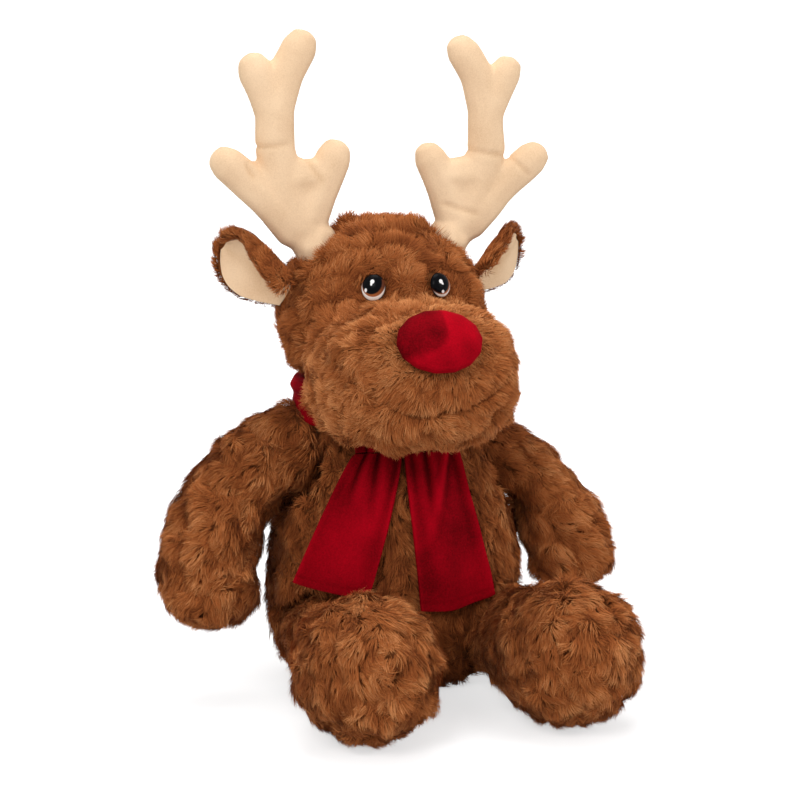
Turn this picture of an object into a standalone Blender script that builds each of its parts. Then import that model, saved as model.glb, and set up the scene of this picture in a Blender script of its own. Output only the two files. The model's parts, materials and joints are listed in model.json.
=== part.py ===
"""A sitting plush deer with stuffed antlers, cupped ears, a velour nose and a scarf.

The deer sits on Z = 0 and faces -Y, so its own left side is at +X. Each stuffed piece is a sewn
cover with an opening at its seam and a separate filling. Each limb, antler and ear starts in a
rounded root that its neighbour is cut for, so it can turn there. A cover's outer surface lies
where the eye sees the plush, in the middle of the pile.
"""
import math

import bmesh
import bpy
from mathutils import Matrix, Vector

MM = 0.001
DEGREE = math.pi / 180
SHARP_ANGLE = 40 * DEGREE
STEEP_ANGLE = 45 * DEGREE

# Clearance and fabric
GAP = 0.3 * MM
PLUSH = 5 * MM
VELOUR = 2 * MM
OVERRUN = 4 * MM
FILLING_GAP = 1.0 * MM

# Facets
BODY_SIDES = 18
LIMB_SIDES = 12
FILLING_SIDES = 10
ANTLER_SIDES = 8
ANTLER_FILLING_SIDES = 6
SOCKET_SIDES = 14
SMALL_SIDES = 12
CAP_RINGS = 2
ANTLER_CAP_RINGS = 1
STRIP_COLUMNS = 8

# Torso: shares run from the seat to the foot of the neck
TORSO_WIDTH = 146 * MM
TORSO_DEPTH = 124 * MM
TORSO_HEIGHT = 146 * MM
TORSO_RISE_SHARES = (0.0, 0.04, 0.13, 0.28, 0.47, 0.65, 0.8, 0.92)
TORSO_WIDTH_SHARES = (0.72, 0.83, 0.93, 1.0, 1.0, 0.94, 0.84, 0.74)
TORSO_DEPTH_SHARES = (0.55, 0.72, 0.89, 1.0, 0.98, 0.92, 0.84, 0.78)
NECK_RADIUS = 46 * MM
NECK_HEIGHT = 16 * MM

# Head and muzzle, two rounded forms that meet behind the cheeks
HEAD_WIDTH = 120 * MM
HEAD_DEPTH = 106 * MM
HEAD_HEIGHT = 108 * MM
HEAD_SINK = 11 * MM
HEAD_SHIFT = 5 * MM
HEAD_SETBACK = 4 * MM
MUZZLE_WIDTH = 117 * MM
MUZZLE_DEPTH = 108 * MM
MUZZLE_HEIGHT = 82 * MM
MUZZLE_FORWARD = 55 * MM
MUZZLE_DROP = 27 * MM
MUZZLE_SEAM = 23 * MM
MUZZLE_FULLNESS_SHARE = 0.8

# Nose, a velour pad on the muzzle
NOSE_WIDTH = 46 * MM
NOSE_HEIGHT = 35 * MM
NOSE_BULGE = 9 * MM
NOSE_RISE = 25 * MM

# Eyes: plastic domes, each held by a shank and a washer behind the cover
EYE_WIDTH = 13 * MM
EYE_HEIGHT = 14.5 * MM
EYE_BULGE = 4 * MM
EYE_SEAT = 1.5 * MM
EYE_SPACING = 38 * MM
EYE_RISE = 19.5 * MM
EYE_TURN = 28 * DEGREE
EYE_TILT = 14 * DEGREE
SHANK_RADIUS = 2 * MM
SHANK_LENGTH = 12 * MM
WASHER_RADIUS = 6 * MM
WASHER_THICKNESS = 1.5 * MM
WASHER_DEPTH = 8 * MM

# Ears: two layers, plush behind and velour in front, folded about the line where they are sewn on
EAR_LENGTH = 38.5 * MM
EAR_WIDTH = 35 * MM
EAR_CUP = 9 * MM
EAR_ROOT_RADIUS = 4.5 * MM
EAR_ROOT_WIDTH = 20 * MM
EAR_HEIGHT = 14.5 * MM
EAR_STANDOUT = 3.6 * MM
EAR_SWEEP = 33 * DEGREE
EAR_LIFT = 38 * DEGREE
EAR_ROLL = 20 * DEGREE
EAR_ALONG_SHARES = (0.0, 0.14, 0.36, 0.6, 0.82, 0.95)
EAR_WIDTH_SHARES = (0.6, 0.8, 0.98, 1.0, 0.8, 0.46)
EAR_CUP_SHARES = (0.5, 0.8, 1.0, 0.9, 0.6, 0.3)
LINING_SHARE = 0.86

# Antlers: flat stuffed forks, written as shares of their spread and height from the root
ANTLER_HEIGHT = 104 * MM
ANTLER_SPREAD = 22.5 * MM
ANTLER_SPACING = 74 * MM
ANTLER_SINK = 6 * MM
ANTLER_ROOT_RADIUS = 13 * MM
TRUNK_RADIUS = 12.3 * MM
PRONG_RADIUS = 9.5 * MM
ANTLER_THICKNESS = 17 * MM
TRUNK_SHARES = ((0.0, 0.0), (0.5, 0.16), (0.85, 0.31), (1.02, 0.5), (1.0, 0.7), (0.74, 0.87), (0.4, 1.0))
UPPER_PRONG_SHARES = ((1.02, 0.66), (1.24, 0.78), (1.5, 0.89))
OUTER_PRONG_SHARES = ((0.5, 0.1), (1.28, 0.27), (2.2, 0.43))
INNER_PRONG_SHARES = ((0.3, 0.1), (-0.02, 0.27), (-0.43, 0.45))
WEB_SHARES = ((0.9, 0.34), (0.35, 0.35), (-0.2, 0.35))

# Arms, from the shoulder to the middle of the hand
RIGHT_SHOULDER_OUT = 59 * MM
RIGHT_SHOULDER_HEIGHT = 127 * MM
RIGHT_ARM_OUT = 51 * MM
RIGHT_ARM_DOWN = 64 * MM
RIGHT_ARM_BOW = 6 * MM
LEFT_SHOULDER_OUT = 57 * MM
LEFT_SHOULDER_HEIGHT = 120 * MM
LEFT_ARM_OUT = 43 * MM
LEFT_ARM_DOWN = 52 * MM
LEFT_ARM_BOW = -1.5 * MM
ARM_FORWARD = 14 * MM
ARM_ROOT_RADIUS = 24 * MM
ARM_RADIUS = 22.5 * MM
HAND_RADIUS = 26 * MM
ARM_OUT_SHARES = (0.0, 0.42, 0.78, 0.95, 1.0)
ARM_BOW_SHARES = (0.0, 0.75, 1.0, 0.6, 0.0)
ARM_DOWN_SHARES = (0.0, 0.2, 0.52, 0.8, 1.0)
ARM_FORWARD_SHARES = (0.0, 0.12, 0.42, 0.75, 1.0)

# Legs, from the hip to the middle of the ball-shaped foot
HIP_SPACING = 94 * MM
HIP_FORWARD = 26 * MM
HIP_HEIGHT = 31 * MM
HIP_RADIUS = 28 * MM
RIGHT_FOOT_OUT = 52 * MM
LEFT_FOOT_OUT = 57 * MM
FOOT_FORWARD = 126 * MM
FOOT_RADIUS = 41 * MM
LEG_RADIUS = 26 * MM
LEG_ALONG_SHARES = (0.0, 0.42, 0.62, 1.0)
LEG_TURNS = (-20 * DEGREE, -10 * DEGREE, 0.0, 5 * DEGREE)
FLOOR_FLAT = 0.5 * MM
SOLE_RADIUS = 26 * MM
MOUTH_RADIUS = 9 * MM

# Scarf: a folded band round the neck and two tails below the chin
SCARF_THICKNESS = 9 * MM
SCARF_HEIGHT = 23 * MM
SCARF_FOLD = 1.5 * MM
SCARF_FOLDS = 3
TAIL_THICKNESS = 2.6 * MM
TAIL_FOLD = 2 * MM
TAIL_ROOT_RADIUS = 2.6 * MM
TAIL_STANDOFF = 4.4 * MM
TAIL_ROOM_RADIUS = 72 * MM
TAIL_DROP = 10 * MM
END_COLUMNS = 4
RIGHT_TAIL_X = -33 * MM
RIGHT_TAIL_SLANT = 16 * DEGREE
RIGHT_TAIL_LENGTH = 67.5 * MM
LEFT_TAIL_X = 5 * MM
LEFT_TAIL_SLANT = 7 * DEGREE
LEFT_TAIL_LENGTH = 73.5 * MM
TAIL_TOP_WIDTH = 27 * MM
TAIL_BOTTOM_WIDTH = 41 * MM
TAIL_WIDTH_SHARES = (0.0, 0.3, 0.55, 0.75, 0.9, 1.0)
TAIL_ALONG_SHARES = (0.0, 0.14, 0.32, 0.54, 0.78, 1.0)

RIGHT, LEFT = -1, 1
SIDE_NAMES = {RIGHT: "right", LEFT: "left"}

COLOURS = {
    "plush": ((0.235, 0.085, 0.026), 0.9),
    "velour_cream": ((0.76, 0.52, 0.31), 0.85),
    "velour_red": ((0.42, 0.004, 0.014), 0.8),
    "eye_plastic": ((0.012, 0.011, 0.012), 0.12),
    "washer_plastic": ((0.72, 0.72, 0.70), 0.45),
    "stuffing": ((0.86, 0.86, 0.83), 0.95),
}


def clear_scene():
    for thing in list(bpy.data.objects):
        bpy.data.objects.remove(thing, do_unlink=True)


def make_material(name):
    colour, roughness = COLOURS[name]
    made = bpy.data.materials.new(name)
    made.use_nodes = True
    shader = made.node_tree.nodes["Principled BSDF"]
    shader.inputs["Base Color"].default_value = (*colour, 1.0)
    shader.inputs["Roughness"].default_value = roughness
    shader.inputs["Metallic"].default_value = 0.0
    return made


def add_pivot(name, place, parent=None):
    """An empty on a joint's axis, which the moving pieces are parented to."""
    pivot = bpy.data.objects.new(name, None)
    bpy.context.scene.collection.objects.link(pivot)
    pivot.parent = parent
    pivot.location = place - world_place(parent)
    return pivot


def world_place(pivot):
    place = Vector()
    while pivot:
        place = place + pivot.location
        pivot = pivot.parent
    return place


def add_solid(name, rings, material=None, pivot=None):
    """A closed solid skinned over rings of points; a ring of one point is a pole."""
    origin = world_place(pivot)
    build = bmesh.new()
    rows = [[build.verts.new(point - origin) for point in ring] for ring in rings]
    for low, high in zip(rows, rows[1:]):
        skin_between(build, low, high)
    for end in (rows[0], rows[-1]):
        if len(end) > 1:
            build.faces.new(end)
    bmesh.ops.recalc_face_normals(build, faces=build.faces[:])
    return link_mesh(name, build, material, pivot)


def skin_between(build, low, high):
    count = max(len(low), len(high))
    for i in range(count):
        j = (i + 1) % count
        if len(low) == 1:
            build.faces.new((low[0], high[j], high[i]))
        elif len(high) == 1:
            build.faces.new((low[i], low[j], high[0]))
        else:
            build.faces.new((low[i], low[j], high[j], high[i]))


def link_mesh(name, build, material, pivot):
    mesh = bpy.data.meshes.new(name)
    build.to_mesh(mesh)
    build.free()
    mesh.shade_smooth()
    mesh.set_sharp_from_angle(angle=SHARP_ANGLE)
    solid = bpy.data.objects.new(name, mesh)
    bpy.context.scene.collection.objects.link(solid)
    solid.parent = pivot
    if material:
        mesh.materials.append(material)
    else:
        solid.hide_render = True
        solid.display_type = "WIRE"
    return solid


def combine(solid, operation, others):
    for other in others:
        step = solid.modifiers.new(other.name, "BOOLEAN")
        step.operation = operation
        step.solver = "EXACT"
        step.object = other


def cut(solid, *others):
    combine(solid, "DIFFERENCE", others)


def join(solid, *others):
    combine(solid, "UNION", others)


def outside(radius, sides):
    """The radius at which a faceted hole stays clear of a round piece that turns in it."""
    return (radius + GAP) / math.cos(math.pi / sides)


def circle(centre, across, up, sides):
    """Points of an ellipse whose half axes are the vectors across and up."""
    turn = 2 * math.pi / sides
    return [centre + across * math.cos(i * turn) + up * math.sin(i * turn) for i in range(sides)]


def ellipsoid(centre, half, axes, sides, inset=0.0, full=1.0):
    """Rings of an ellipsoid: half holds its half sizes along the three axes, poles on the last.

    A share full below 1 fills the form out towards a box.
    """
    a, b, c = (axis * (size - inset) for axis, size in zip(axes, half))
    steps = sides // 2
    rings = [[centre - c]]
    for i in range(1, steps):
        angle = math.pi * i / steps
        middle = centre - c * bulged(math.cos(angle), full)
        size = bulged(math.sin(angle), full)
        rings.append([
            middle + a * (size * bulged(math.cos(turn), full)) + b * (size * bulged(math.sin(turn), full))
            for turn in (2 * math.pi * k / sides for k in range(sides))
        ])
    rings.append([centre + c])
    return rings


def bulged(share, full):
    return math.copysign(abs(share) ** full, share)


def turned(centre, across, up, along, profile, sides):
    """Rings of a turned shape: profile lists a radius and a place along the axis."""
    rings = []
    for radius, place in profile:
        middle = centre + along * place
        rings.append(circle(middle, across * radius, up * radius, sides) if radius else [middle])
    return rings


def stuffed_tube(path, sizes, across_hint, sides, inset=0.0, caps=CAP_RINGS):
    """Rings of a stuffed tube with round ends; sizes holds a half width and half depth per point."""
    directions = [
        (path[min(i + 1, len(path) - 1)] - path[max(i - 1, 0)]).normalized() for i in range(len(path))
    ]
    rings = []
    for i, (point, size) in enumerate(zip(path, sizes)):
        along = directions[i]
        deep = (across_hint - along * across_hint.dot(along)).normalized()
        wide = deep.cross(along)
        wide = wide * (size[0] - inset)
        deep = deep * (size[1] - inset)
        reach = along * (max(size) - inset)
        if i == 0:
            rings += [[point - reach]] + round_end(point, wide, deep, -reach, sides, caps)[::-1]
        rings.append(circle(point, wide, deep, sides))
        if i == len(path) - 1:
            rings += round_end(point, wide, deep, reach, sides, caps) + [[point + reach]]
    return rings


def round_end(point, wide, deep, reach, sides, caps):
    rings = []
    for i in range(1, caps + 1):
        angle = math.pi / 2 * i / (caps + 1)
        size = math.cos(angle)
        rings.append(circle(point + reach * math.sin(angle), wide * size, deep * size, sides))
    return rings


def add_ball(name, centre, radius, pivot=None):
    """A faceted ball with its corners at the given radius."""
    build = bmesh.new()
    bmesh.ops.create_uvsphere(
        build,
        u_segments=SOCKET_SIDES,
        v_segments=SOCKET_SIDES // 2,
        radius=radius,
        matrix=Matrix.Translation(centre - world_place(pivot)),
    )
    return link_mesh(name, build, None, pivot)


def add_socket(name, centre, radius, pivot=None):
    """A round cutter whose facets stay clear of a ball that turns in it."""
    return add_ball(name, centre, outside(outside(radius, SOCKET_SIDES) - GAP, SOCKET_SIDES), pivot)


def within_ball(radius):
    """The radius at which a round end stays inside the facets of add_ball."""
    return radius * math.cos(math.pi / SOCKET_SIDES) ** 2


def add_rod(name, start, along, radius, length, sides=SMALL_SIDES):
    """A round bar that runs from start."""
    across, up = square_axes(along)
    ends = (circle(start, across * radius, up * radius, sides),
            circle(start + along * length, across * radius, up * radius, sides))
    return add_solid(name, ends)


def square_axes(along):
    """Two unit vectors square to along and to each other, the second as upright as it can be."""
    upright = Vector((0, 0, 1)) if abs(along.z) < math.cos(STEEP_ANGLE) else Vector((0, 1, 0))
    up = (upright - along * upright.dot(along)).normalized()
    return up.cross(along), up


X_AXIS = Vector((1, 0, 0))
Y_AXIS = Vector((0, 1, 0))
Z_AXIS = Vector((0, 0, 1))
AXES = (X_AXIS, Y_AXIS, Z_AXIS)

NECK_TOP = TORSO_HEIGHT + NECK_HEIGHT
SCARF_RADIUS = NECK_RADIUS + GAP + SCARF_THICKNESS
SCARF_BASE = TORSO_HEIGHT + GAP
SCARF_TOP = SCARF_BASE + SCARF_HEIGHT
HEAD_CENTRE = Vector((-HEAD_SHIFT, HEAD_SETBACK, NECK_TOP - HEAD_SINK + HEAD_HEIGHT / 2))
HEAD_HALF = (HEAD_WIDTH / 2, HEAD_DEPTH / 2, HEAD_HEIGHT / 2)
MUZZLE_CENTRE = HEAD_CENTRE - Vector((0, MUZZLE_FORWARD, MUZZLE_DROP))
MUZZLE_HALF = (MUZZLE_WIDTH / 2, MUZZLE_DEPTH / 2, MUZZLE_HEIGHT / 2)
TAIL_ROOT_HEIGHT = SCARF_BASE - TAIL_DROP
TAIL_ROOT_REACH = SCARF_RADIUS - SCARF_FOLD - TAIL_ROOT_RADIUS


def torso_rings(inset=0.0, sides=BODY_SIDES):
    """The pear-shaped body with its round neck, flat where it sits."""
    squeeze = (NECK_TOP - 2 * inset) / NECK_TOP
    rings = []
    for rise, wide, deep in zip(TORSO_RISE_SHARES, TORSO_WIDTH_SHARES, TORSO_DEPTH_SHARES):
        centre = Z_AXIS * (inset + rise * TORSO_HEIGHT * squeeze)
        across = X_AXIS * (TORSO_WIDTH / 2 * wide - inset)
        rings.append(circle(centre, across, Y_AXIS * (TORSO_DEPTH / 2 * deep - inset), sides))
    radius = NECK_RADIUS - inset
    for height in (TORSO_HEIGHT, NECK_TOP):
        centre = Z_AXIS * (inset + height * squeeze)
        rings.append(circle(centre, X_AXIS * radius, Y_AXIS * radius, sides))
    return rings


def torso_half(shares, size, height):
    """The torso's half width or half depth at a height."""
    rise = min(max(height / TORSO_HEIGHT, 0.0), TORSO_RISE_SHARES[-1])
    for i in range(1, len(shares)):
        low, high = TORSO_RISE_SHARES[i - 1], TORSO_RISE_SHARES[i]
        if rise <= high:
            part = (rise - low) / (high - low)
            return size / 2 * (shares[i - 1] + (shares[i] - shares[i - 1]) * part)
    return size / 2 * shares[-1]


def torso_front(x, height):
    """How far the torso's front stands forward of its middle at x and a height."""
    wide = torso_half(TORSO_WIDTH_SHARES, TORSO_WIDTH, height)
    deep = torso_half(TORSO_DEPTH_SHARES, TORSO_DEPTH, height)
    return deep * math.sqrt(max(1 - (x / wide) ** 2, 0.0))


def surface_place(centre, half, x, rise, full=1.0):
    """The front point of an ellipsoid at x and a rise above its centre, with the outward normal."""
    power = 2 / full
    share = max(1 - abs(x / half[0]) ** power - abs(rise / half[2]) ** power, 0.0)
    offset = Vector((x, -half[1] * share ** (1 / power), rise))
    normal = Vector(bulged(part / size, power - 1) / size for part, size in zip(offset, half)).normalized()
    return centre + offset, normal


def add_neck_room():
    """What the head and muzzle are cut back from, so that they turn freely over neck and scarf."""
    neck = NECK_RADIUS * math.cos(math.pi / BODY_SIDES) - GAP
    scarf = outside(SCARF_RADIUS, BODY_SIDES)
    profile = (
        (0, -OVERRUN),
        (TAIL_ROOM_RADIUS, -OVERRUN),
        (TAIL_ROOM_RADIUS, SCARF_BASE),
        (scarf, SCARF_BASE),
        (scarf, SCARF_TOP + GAP),
        (neck, SCARF_TOP + GAP + (scarf - neck) / 2),
        (neck, NECK_TOP + GAP),
        (0, NECK_TOP + GAP),
    )
    return add_solid("neck_room", turned(Vector(), X_AXIS, Y_AXIS, Z_AXIS, profile, BODY_SIDES))


def build_torso(materials, sockets):
    cover = add_solid("torso_cover", torso_rings(), materials["plush"])
    hollow = add_solid("torso_hollow", torso_rings(PLUSH, FILLING_SIDES))
    cut(cover, hollow, *sockets)
    filling_rings = torso_rings(PLUSH + FILLING_GAP, FILLING_SIDES)
    filling = add_solid("torso_filling", filling_rings, materials["stuffing"])
    cut(filling, *sockets)


def head_rings(inset=0.0, sides=BODY_SIDES):
    return ellipsoid(HEAD_CENTRE, HEAD_HALF, AXES, sides, inset)


def build_head(materials, pivot, neck_room, pockets):
    cover = add_solid("head_cover", head_rings(), materials["plush"], pivot)
    cut(cover, add_solid("head_hollow", head_rings(PLUSH, FILLING_SIDES)), neck_room, *pockets)
    filling_rings = head_rings(PLUSH + FILLING_GAP, FILLING_SIDES)
    filling = add_solid("head_filling", filling_rings, materials["stuffing"], pivot)
    cut(filling, neck_room, *pockets)


def muzzle_rings(inset=0.0, sides=BODY_SIDES):
    return ellipsoid(MUZZLE_CENTRE, MUZZLE_HALF, AXES, sides, inset, MUZZLE_FULLNESS_SHARE)


def build_muzzle(materials, pivot, neck_room):
    head_room = add_solid("head_room", head_rings(-GAP))
    seam = HEAD_CENTRE - Y_AXIS * MUZZLE_SEAM
    behind = add_rod("muzzle_behind", seam, Y_AXIS, MUZZLE_WIDTH, MUZZLE_DEPTH)
    cover = add_solid("muzzle_cover", muzzle_rings(), materials["plush"], pivot)
    hollow = add_solid("muzzle_hollow", muzzle_rings(PLUSH, FILLING_SIDES))
    cut(cover, hollow, head_room, neck_room, behind)
    filling_rings = muzzle_rings(PLUSH + FILLING_GAP, FILLING_SIDES)
    filling = add_solid("muzzle_filling", filling_rings, materials["stuffing"], pivot)
    cut(filling, head_room, neck_room, behind)


def build_nose(materials, pivot):
    place, normal = surface_place(MUZZLE_CENTRE, MUZZLE_HALF, 0.0, NOSE_RISE, MUZZLE_FULLNESS_SHARE)
    across, up = square_axes(normal)
    half = (NOSE_WIDTH / 2, NOSE_HEIGHT / 2, NOSE_BULGE)
    nose = (place, half, (across, up, normal), SOCKET_SIDES)
    muzzle_room = add_solid("muzzle_room", muzzle_rings(-GAP))
    cover = add_solid("nose_cover", ellipsoid(*nose), materials["velour_red"], pivot)
    cut(cover, add_solid("nose_hollow", ellipsoid(*nose, VELOUR)), muzzle_room)
    filling = add_solid("nose_filling", ellipsoid(*nose, VELOUR + GAP), materials["stuffing"], pivot)
    cut(filling, muzzle_room)


def build_eye(materials, pivot, side):
    """A dome with its shank, the washer pushed on behind the cover, and the pockets for both."""
    place, _ = surface_place(HEAD_CENTRE, HEAD_HALF, side * EYE_SPACING / 2, EYE_RISE)
    flat = math.cos(EYE_TILT)
    normal = Vector((side * math.sin(EYE_TURN) * flat, -math.cos(EYE_TURN) * flat, math.sin(EYE_TILT)))
    across, up = square_axes(normal)
    name = SIDE_NAMES[side]
    back = place - normal * EYE_SEAT
    rings = [circle(back - normal * SHANK_LENGTH, across * SHANK_RADIUS, up * SHANK_RADIUS, SMALL_SIDES)]
    rings.append(circle(back, across * SHANK_RADIUS, up * SHANK_RADIUS, SMALL_SIDES))
    steps = CAP_RINGS + 1
    for i in range(steps):
        angle = math.pi / 2 * i / steps
        wide = across * (EYE_WIDTH / 2 * math.cos(angle))
        tall = up * (EYE_HEIGHT / 2 * math.cos(angle))
        rings.append(circle(back + normal * (EYE_BULGE * math.sin(angle)), wide, tall, SMALL_SIDES))
    rings.append([back + normal * EYE_BULGE])
    add_solid("eye_" + name, rings, materials["eye_plastic"], pivot)
    washer_front = back - normal * WASHER_DEPTH
    bore = outside(SHANK_RADIUS, SMALL_SIDES)
    washer_profile = (
        (WASHER_RADIUS, 0.0), (WASHER_RADIUS, WASHER_THICKNESS), (bore, WASHER_THICKNESS), (bore, 0.0),
    )
    add_ring("eye_washer_" + name, turned(washer_front, across, up, normal, washer_profile, SMALL_SIDES),
             materials["washer_plastic"], pivot)
    seat_radius = outside(max(EYE_WIDTH, EYE_HEIGHT) / 2, SMALL_SIDES)
    seat_length = EYE_SEAT + EYE_BULGE + OVERRUN
    seat = add_rod("eye_seat_" + name, back - normal * GAP, normal, seat_radius, seat_length)
    hole = add_rod("eye_hole_" + name, back + normal * GAP, -normal, bore, SHANK_LENGTH + 2 * GAP)
    pocket = add_rod("eye_pocket_" + name, washer_front - normal * GAP, normal,
                     outside(WASHER_RADIUS, SMALL_SIDES), WASHER_THICKNESS + 2 * GAP)
    return seat, hole, pocket


def add_ring(name, rings, material, pivot=None):
    """A closed ring skinned through its profile circles and back to the first."""
    origin = world_place(pivot)
    build = bmesh.new()
    rows = [[build.verts.new(point - origin) for point in ring] for ring in rings]
    for low, high in zip(rows, rows[1:] + rows[:1]):
        skin_between(build, low, high)
    bmesh.ops.recalc_face_normals(build, faces=build.faces[:])
    return link_mesh(name, build, material, pivot)


def build_ear(materials, head_pivot, side):
    """Plush back and velour lining, both cupped, on a rolled root in a slot of the head."""
    name = SIDE_NAMES[side]
    flat = math.cos(EAR_LIFT)
    along = Vector((side * math.cos(EAR_SWEEP) * flat, math.sin(EAR_SWEEP) * flat, math.sin(EAR_LIFT)))
    upright = (Z_AXIS - along * along.z).normalized()
    forward = along.cross(upright) * side
    up = upright * math.cos(EAR_ROLL) + forward * math.sin(EAR_ROLL)
    front = along.cross(up) * side
    share = math.sqrt(1 - (EAR_HEIGHT / HEAD_HALF[2]) ** 2)
    root = HEAD_CENTRE + Vector((side * HEAD_HALF[0] * share, 0.0, EAR_HEIGHT)) + along * EAR_STANDOUT
    pivot = add_pivot("ear_" + name + "_pivot", root, head_pivot)

    def leaf(low, high, size):
        rings = []
        for run, wide, cup in zip(EAR_ALONG_SHARES, EAR_WIDTH_SHARES, EAR_CUP_SHARES):
            centre = root + along * (EAR_ROOT_RADIUS + run * (EAR_LENGTH - EAR_ROOT_RADIUS) * size)
            half_width = up * (EAR_WIDTH / 2 * wide * size)
            rings.append(ear_section(centre, half_width, front, cup * EAR_CUP, low, high))
        return rings

    back = add_solid("ear_" + name + "_back", leaf(-PLUSH, 0.0, 1.0), materials["plush"], pivot)
    start = root - up * (EAR_ROOT_WIDTH / 2)
    neck_wide = up * (EAR_ROOT_WIDTH / 2)
    neck_deep = front * (PLUSH / 2)
    neck_centre = root - front * (PLUSH / 2)
    neck = add_solid("ear_neck_" + name, [
        box_section(neck_centre, neck_wide, neck_deep),
        box_section(neck_centre + along * (EAR_ROOT_RADIUS + OVERRUN), neck_wide, neck_deep),
    ])
    join(back, add_rod("ear_roll_" + name, start, up, EAR_ROOT_RADIUS, EAR_ROOT_WIDTH), neck)
    lining_rings = leaf(GAP, GAP + VELOUR, LINING_SHARE)
    add_solid("ear_" + name + "_lining", lining_rings, materials["velour_cream"], pivot)
    slot_radius = outside(EAR_ROOT_RADIUS, SMALL_SIDES)
    return add_rod("ear_slot_" + name, start - up * GAP, up, slot_radius, EAR_ROOT_WIDTH + 2 * GAP)


def box_section(centre, wide, deep):
    return [centre - wide - deep, centre + wide - deep, centre + wide + deep, centre - wide + deep]


def ear_section(centre, half_width, front, cup, low, high):
    """A crescent: both faces follow one curve, and the edges come forward by the cup."""
    shares = [2 * i / STRIP_COLUMNS - 1 for i in range(STRIP_COLUMNS + 1)]
    near = [centre + half_width * s + front * (cup * s * s + high) for s in shares]
    far = [centre + half_width * s + front * (cup * s * s + low) for s in reversed(shares)]
    return near + far


def antler_tubes(name, side, root, inset, material=None, pivot=None):
    """The trunk with its three prongs, the web beside the inner one and the ball at its root."""
    sides = ANTLER_FILLING_SIDES if inset else ANTLER_SIDES

    def tube(run, tube_sizes):
        return stuffed_tube(path(run), tube_sizes, Y_AXIS, sides, inset, ANTLER_CAP_RINGS)

    def path(shares):
        return [root + Vector((side * ANTLER_SPREAD * out, 0.0, ANTLER_HEIGHT * up)) for out, up in shares]

    deep = ANTLER_THICKNESS / 2
    last = len(TRUNK_SHARES) - 1
    trunk_sizes = [(TRUNK_RADIUS + (PRONG_RADIUS - TRUNK_RADIUS) * i / last, deep) for i in range(last + 1)]
    solid = add_solid(name, tube(TRUNK_SHARES, trunk_sizes), material, pivot)
    prongs = (
        (UPPER_PRONG_SHARES, PRONG_RADIUS), (OUTER_PRONG_SHARES, TRUNK_RADIUS),
        (INNER_PRONG_SHARES, TRUNK_RADIUS), (WEB_SHARES, TRUNK_RADIUS),
    )
    for i, (shares, base) in enumerate(prongs):
        last = len(shares) - 1
        taper = (PRONG_RADIUS - base) / last
        sizes = [(base + taper * k, deep - (i + 1) * GAP / 2) for k in range(last + 1)]
        join(solid, add_solid(f"{name}_prong_{i}", tube(shares, sizes)))
    ball = ellipsoid(root, (ANTLER_ROOT_RADIUS,) * 3, AXES, ANTLER_SIDES, inset)
    join(solid, add_solid(name + "_ball", ball))
    return solid


def build_antler(materials, head_pivot, side):
    name = SIDE_NAMES[side]
    x = ANTLER_SPACING / 2
    rise = HEAD_HALF[2] * math.sqrt(1 - (x / HEAD_HALF[0]) ** 2)
    root = HEAD_CENTRE + Vector((side * x, 0.0, rise - ANTLER_SINK))
    pivot = add_pivot("antler_" + name + "_pivot", root, head_pivot)
    cover = antler_tubes("antler_" + name + "_cover", side, root, 0.0, materials["velour_cream"], pivot)
    hollow = antler_tubes("antler_hollow_" + name, side, root, VELOUR)
    mouth_length = ANTLER_ROOT_RADIUS + OVERRUN
    cut(cover, hollow, add_rod("antler_mouth_" + name, root, -Z_AXIS, ANTLER_ROOT_RADIUS / 2, mouth_length))
    filling_name = "antler_" + name + "_filling"
    antler_tubes(filling_name, side, root, VELOUR + FILLING_GAP, materials["stuffing"], pivot)
    return add_socket("antler_socket_" + name, root, ANTLER_ROOT_RADIUS)


def add_arm_room(name, shoulder, side, inset):
    """A dome round the shoulder's axis that holds the torso's side, so the arm clears it as it swings."""
    heights = [rise * TORSO_HEIGHT for rise in TORSO_RISE_SHARES if rise * TORSO_HEIGHT < shoulder.z]
    heights.append(shoulder.z)
    halves = [torso_half(TORSO_WIDTH_SHARES, TORSO_WIDTH, height) for height in heights]
    reach = shoulder.z + TORSO_DEPTH
    clear = GAP + inset
    profile = [(0.0, 0.0), (reach, 0.0), (reach, max(halves) + clear)]
    profile += [(shoulder.z - height, max(halves[i:]) + clear) for i, height in enumerate(heights)]
    centre = Vector((0.0, shoulder.y, shoulder.z))
    return add_solid(name, turned(centre, Y_AXIS, Z_AXIS, X_AXIS * side, profile, SOCKET_SIDES))


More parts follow.
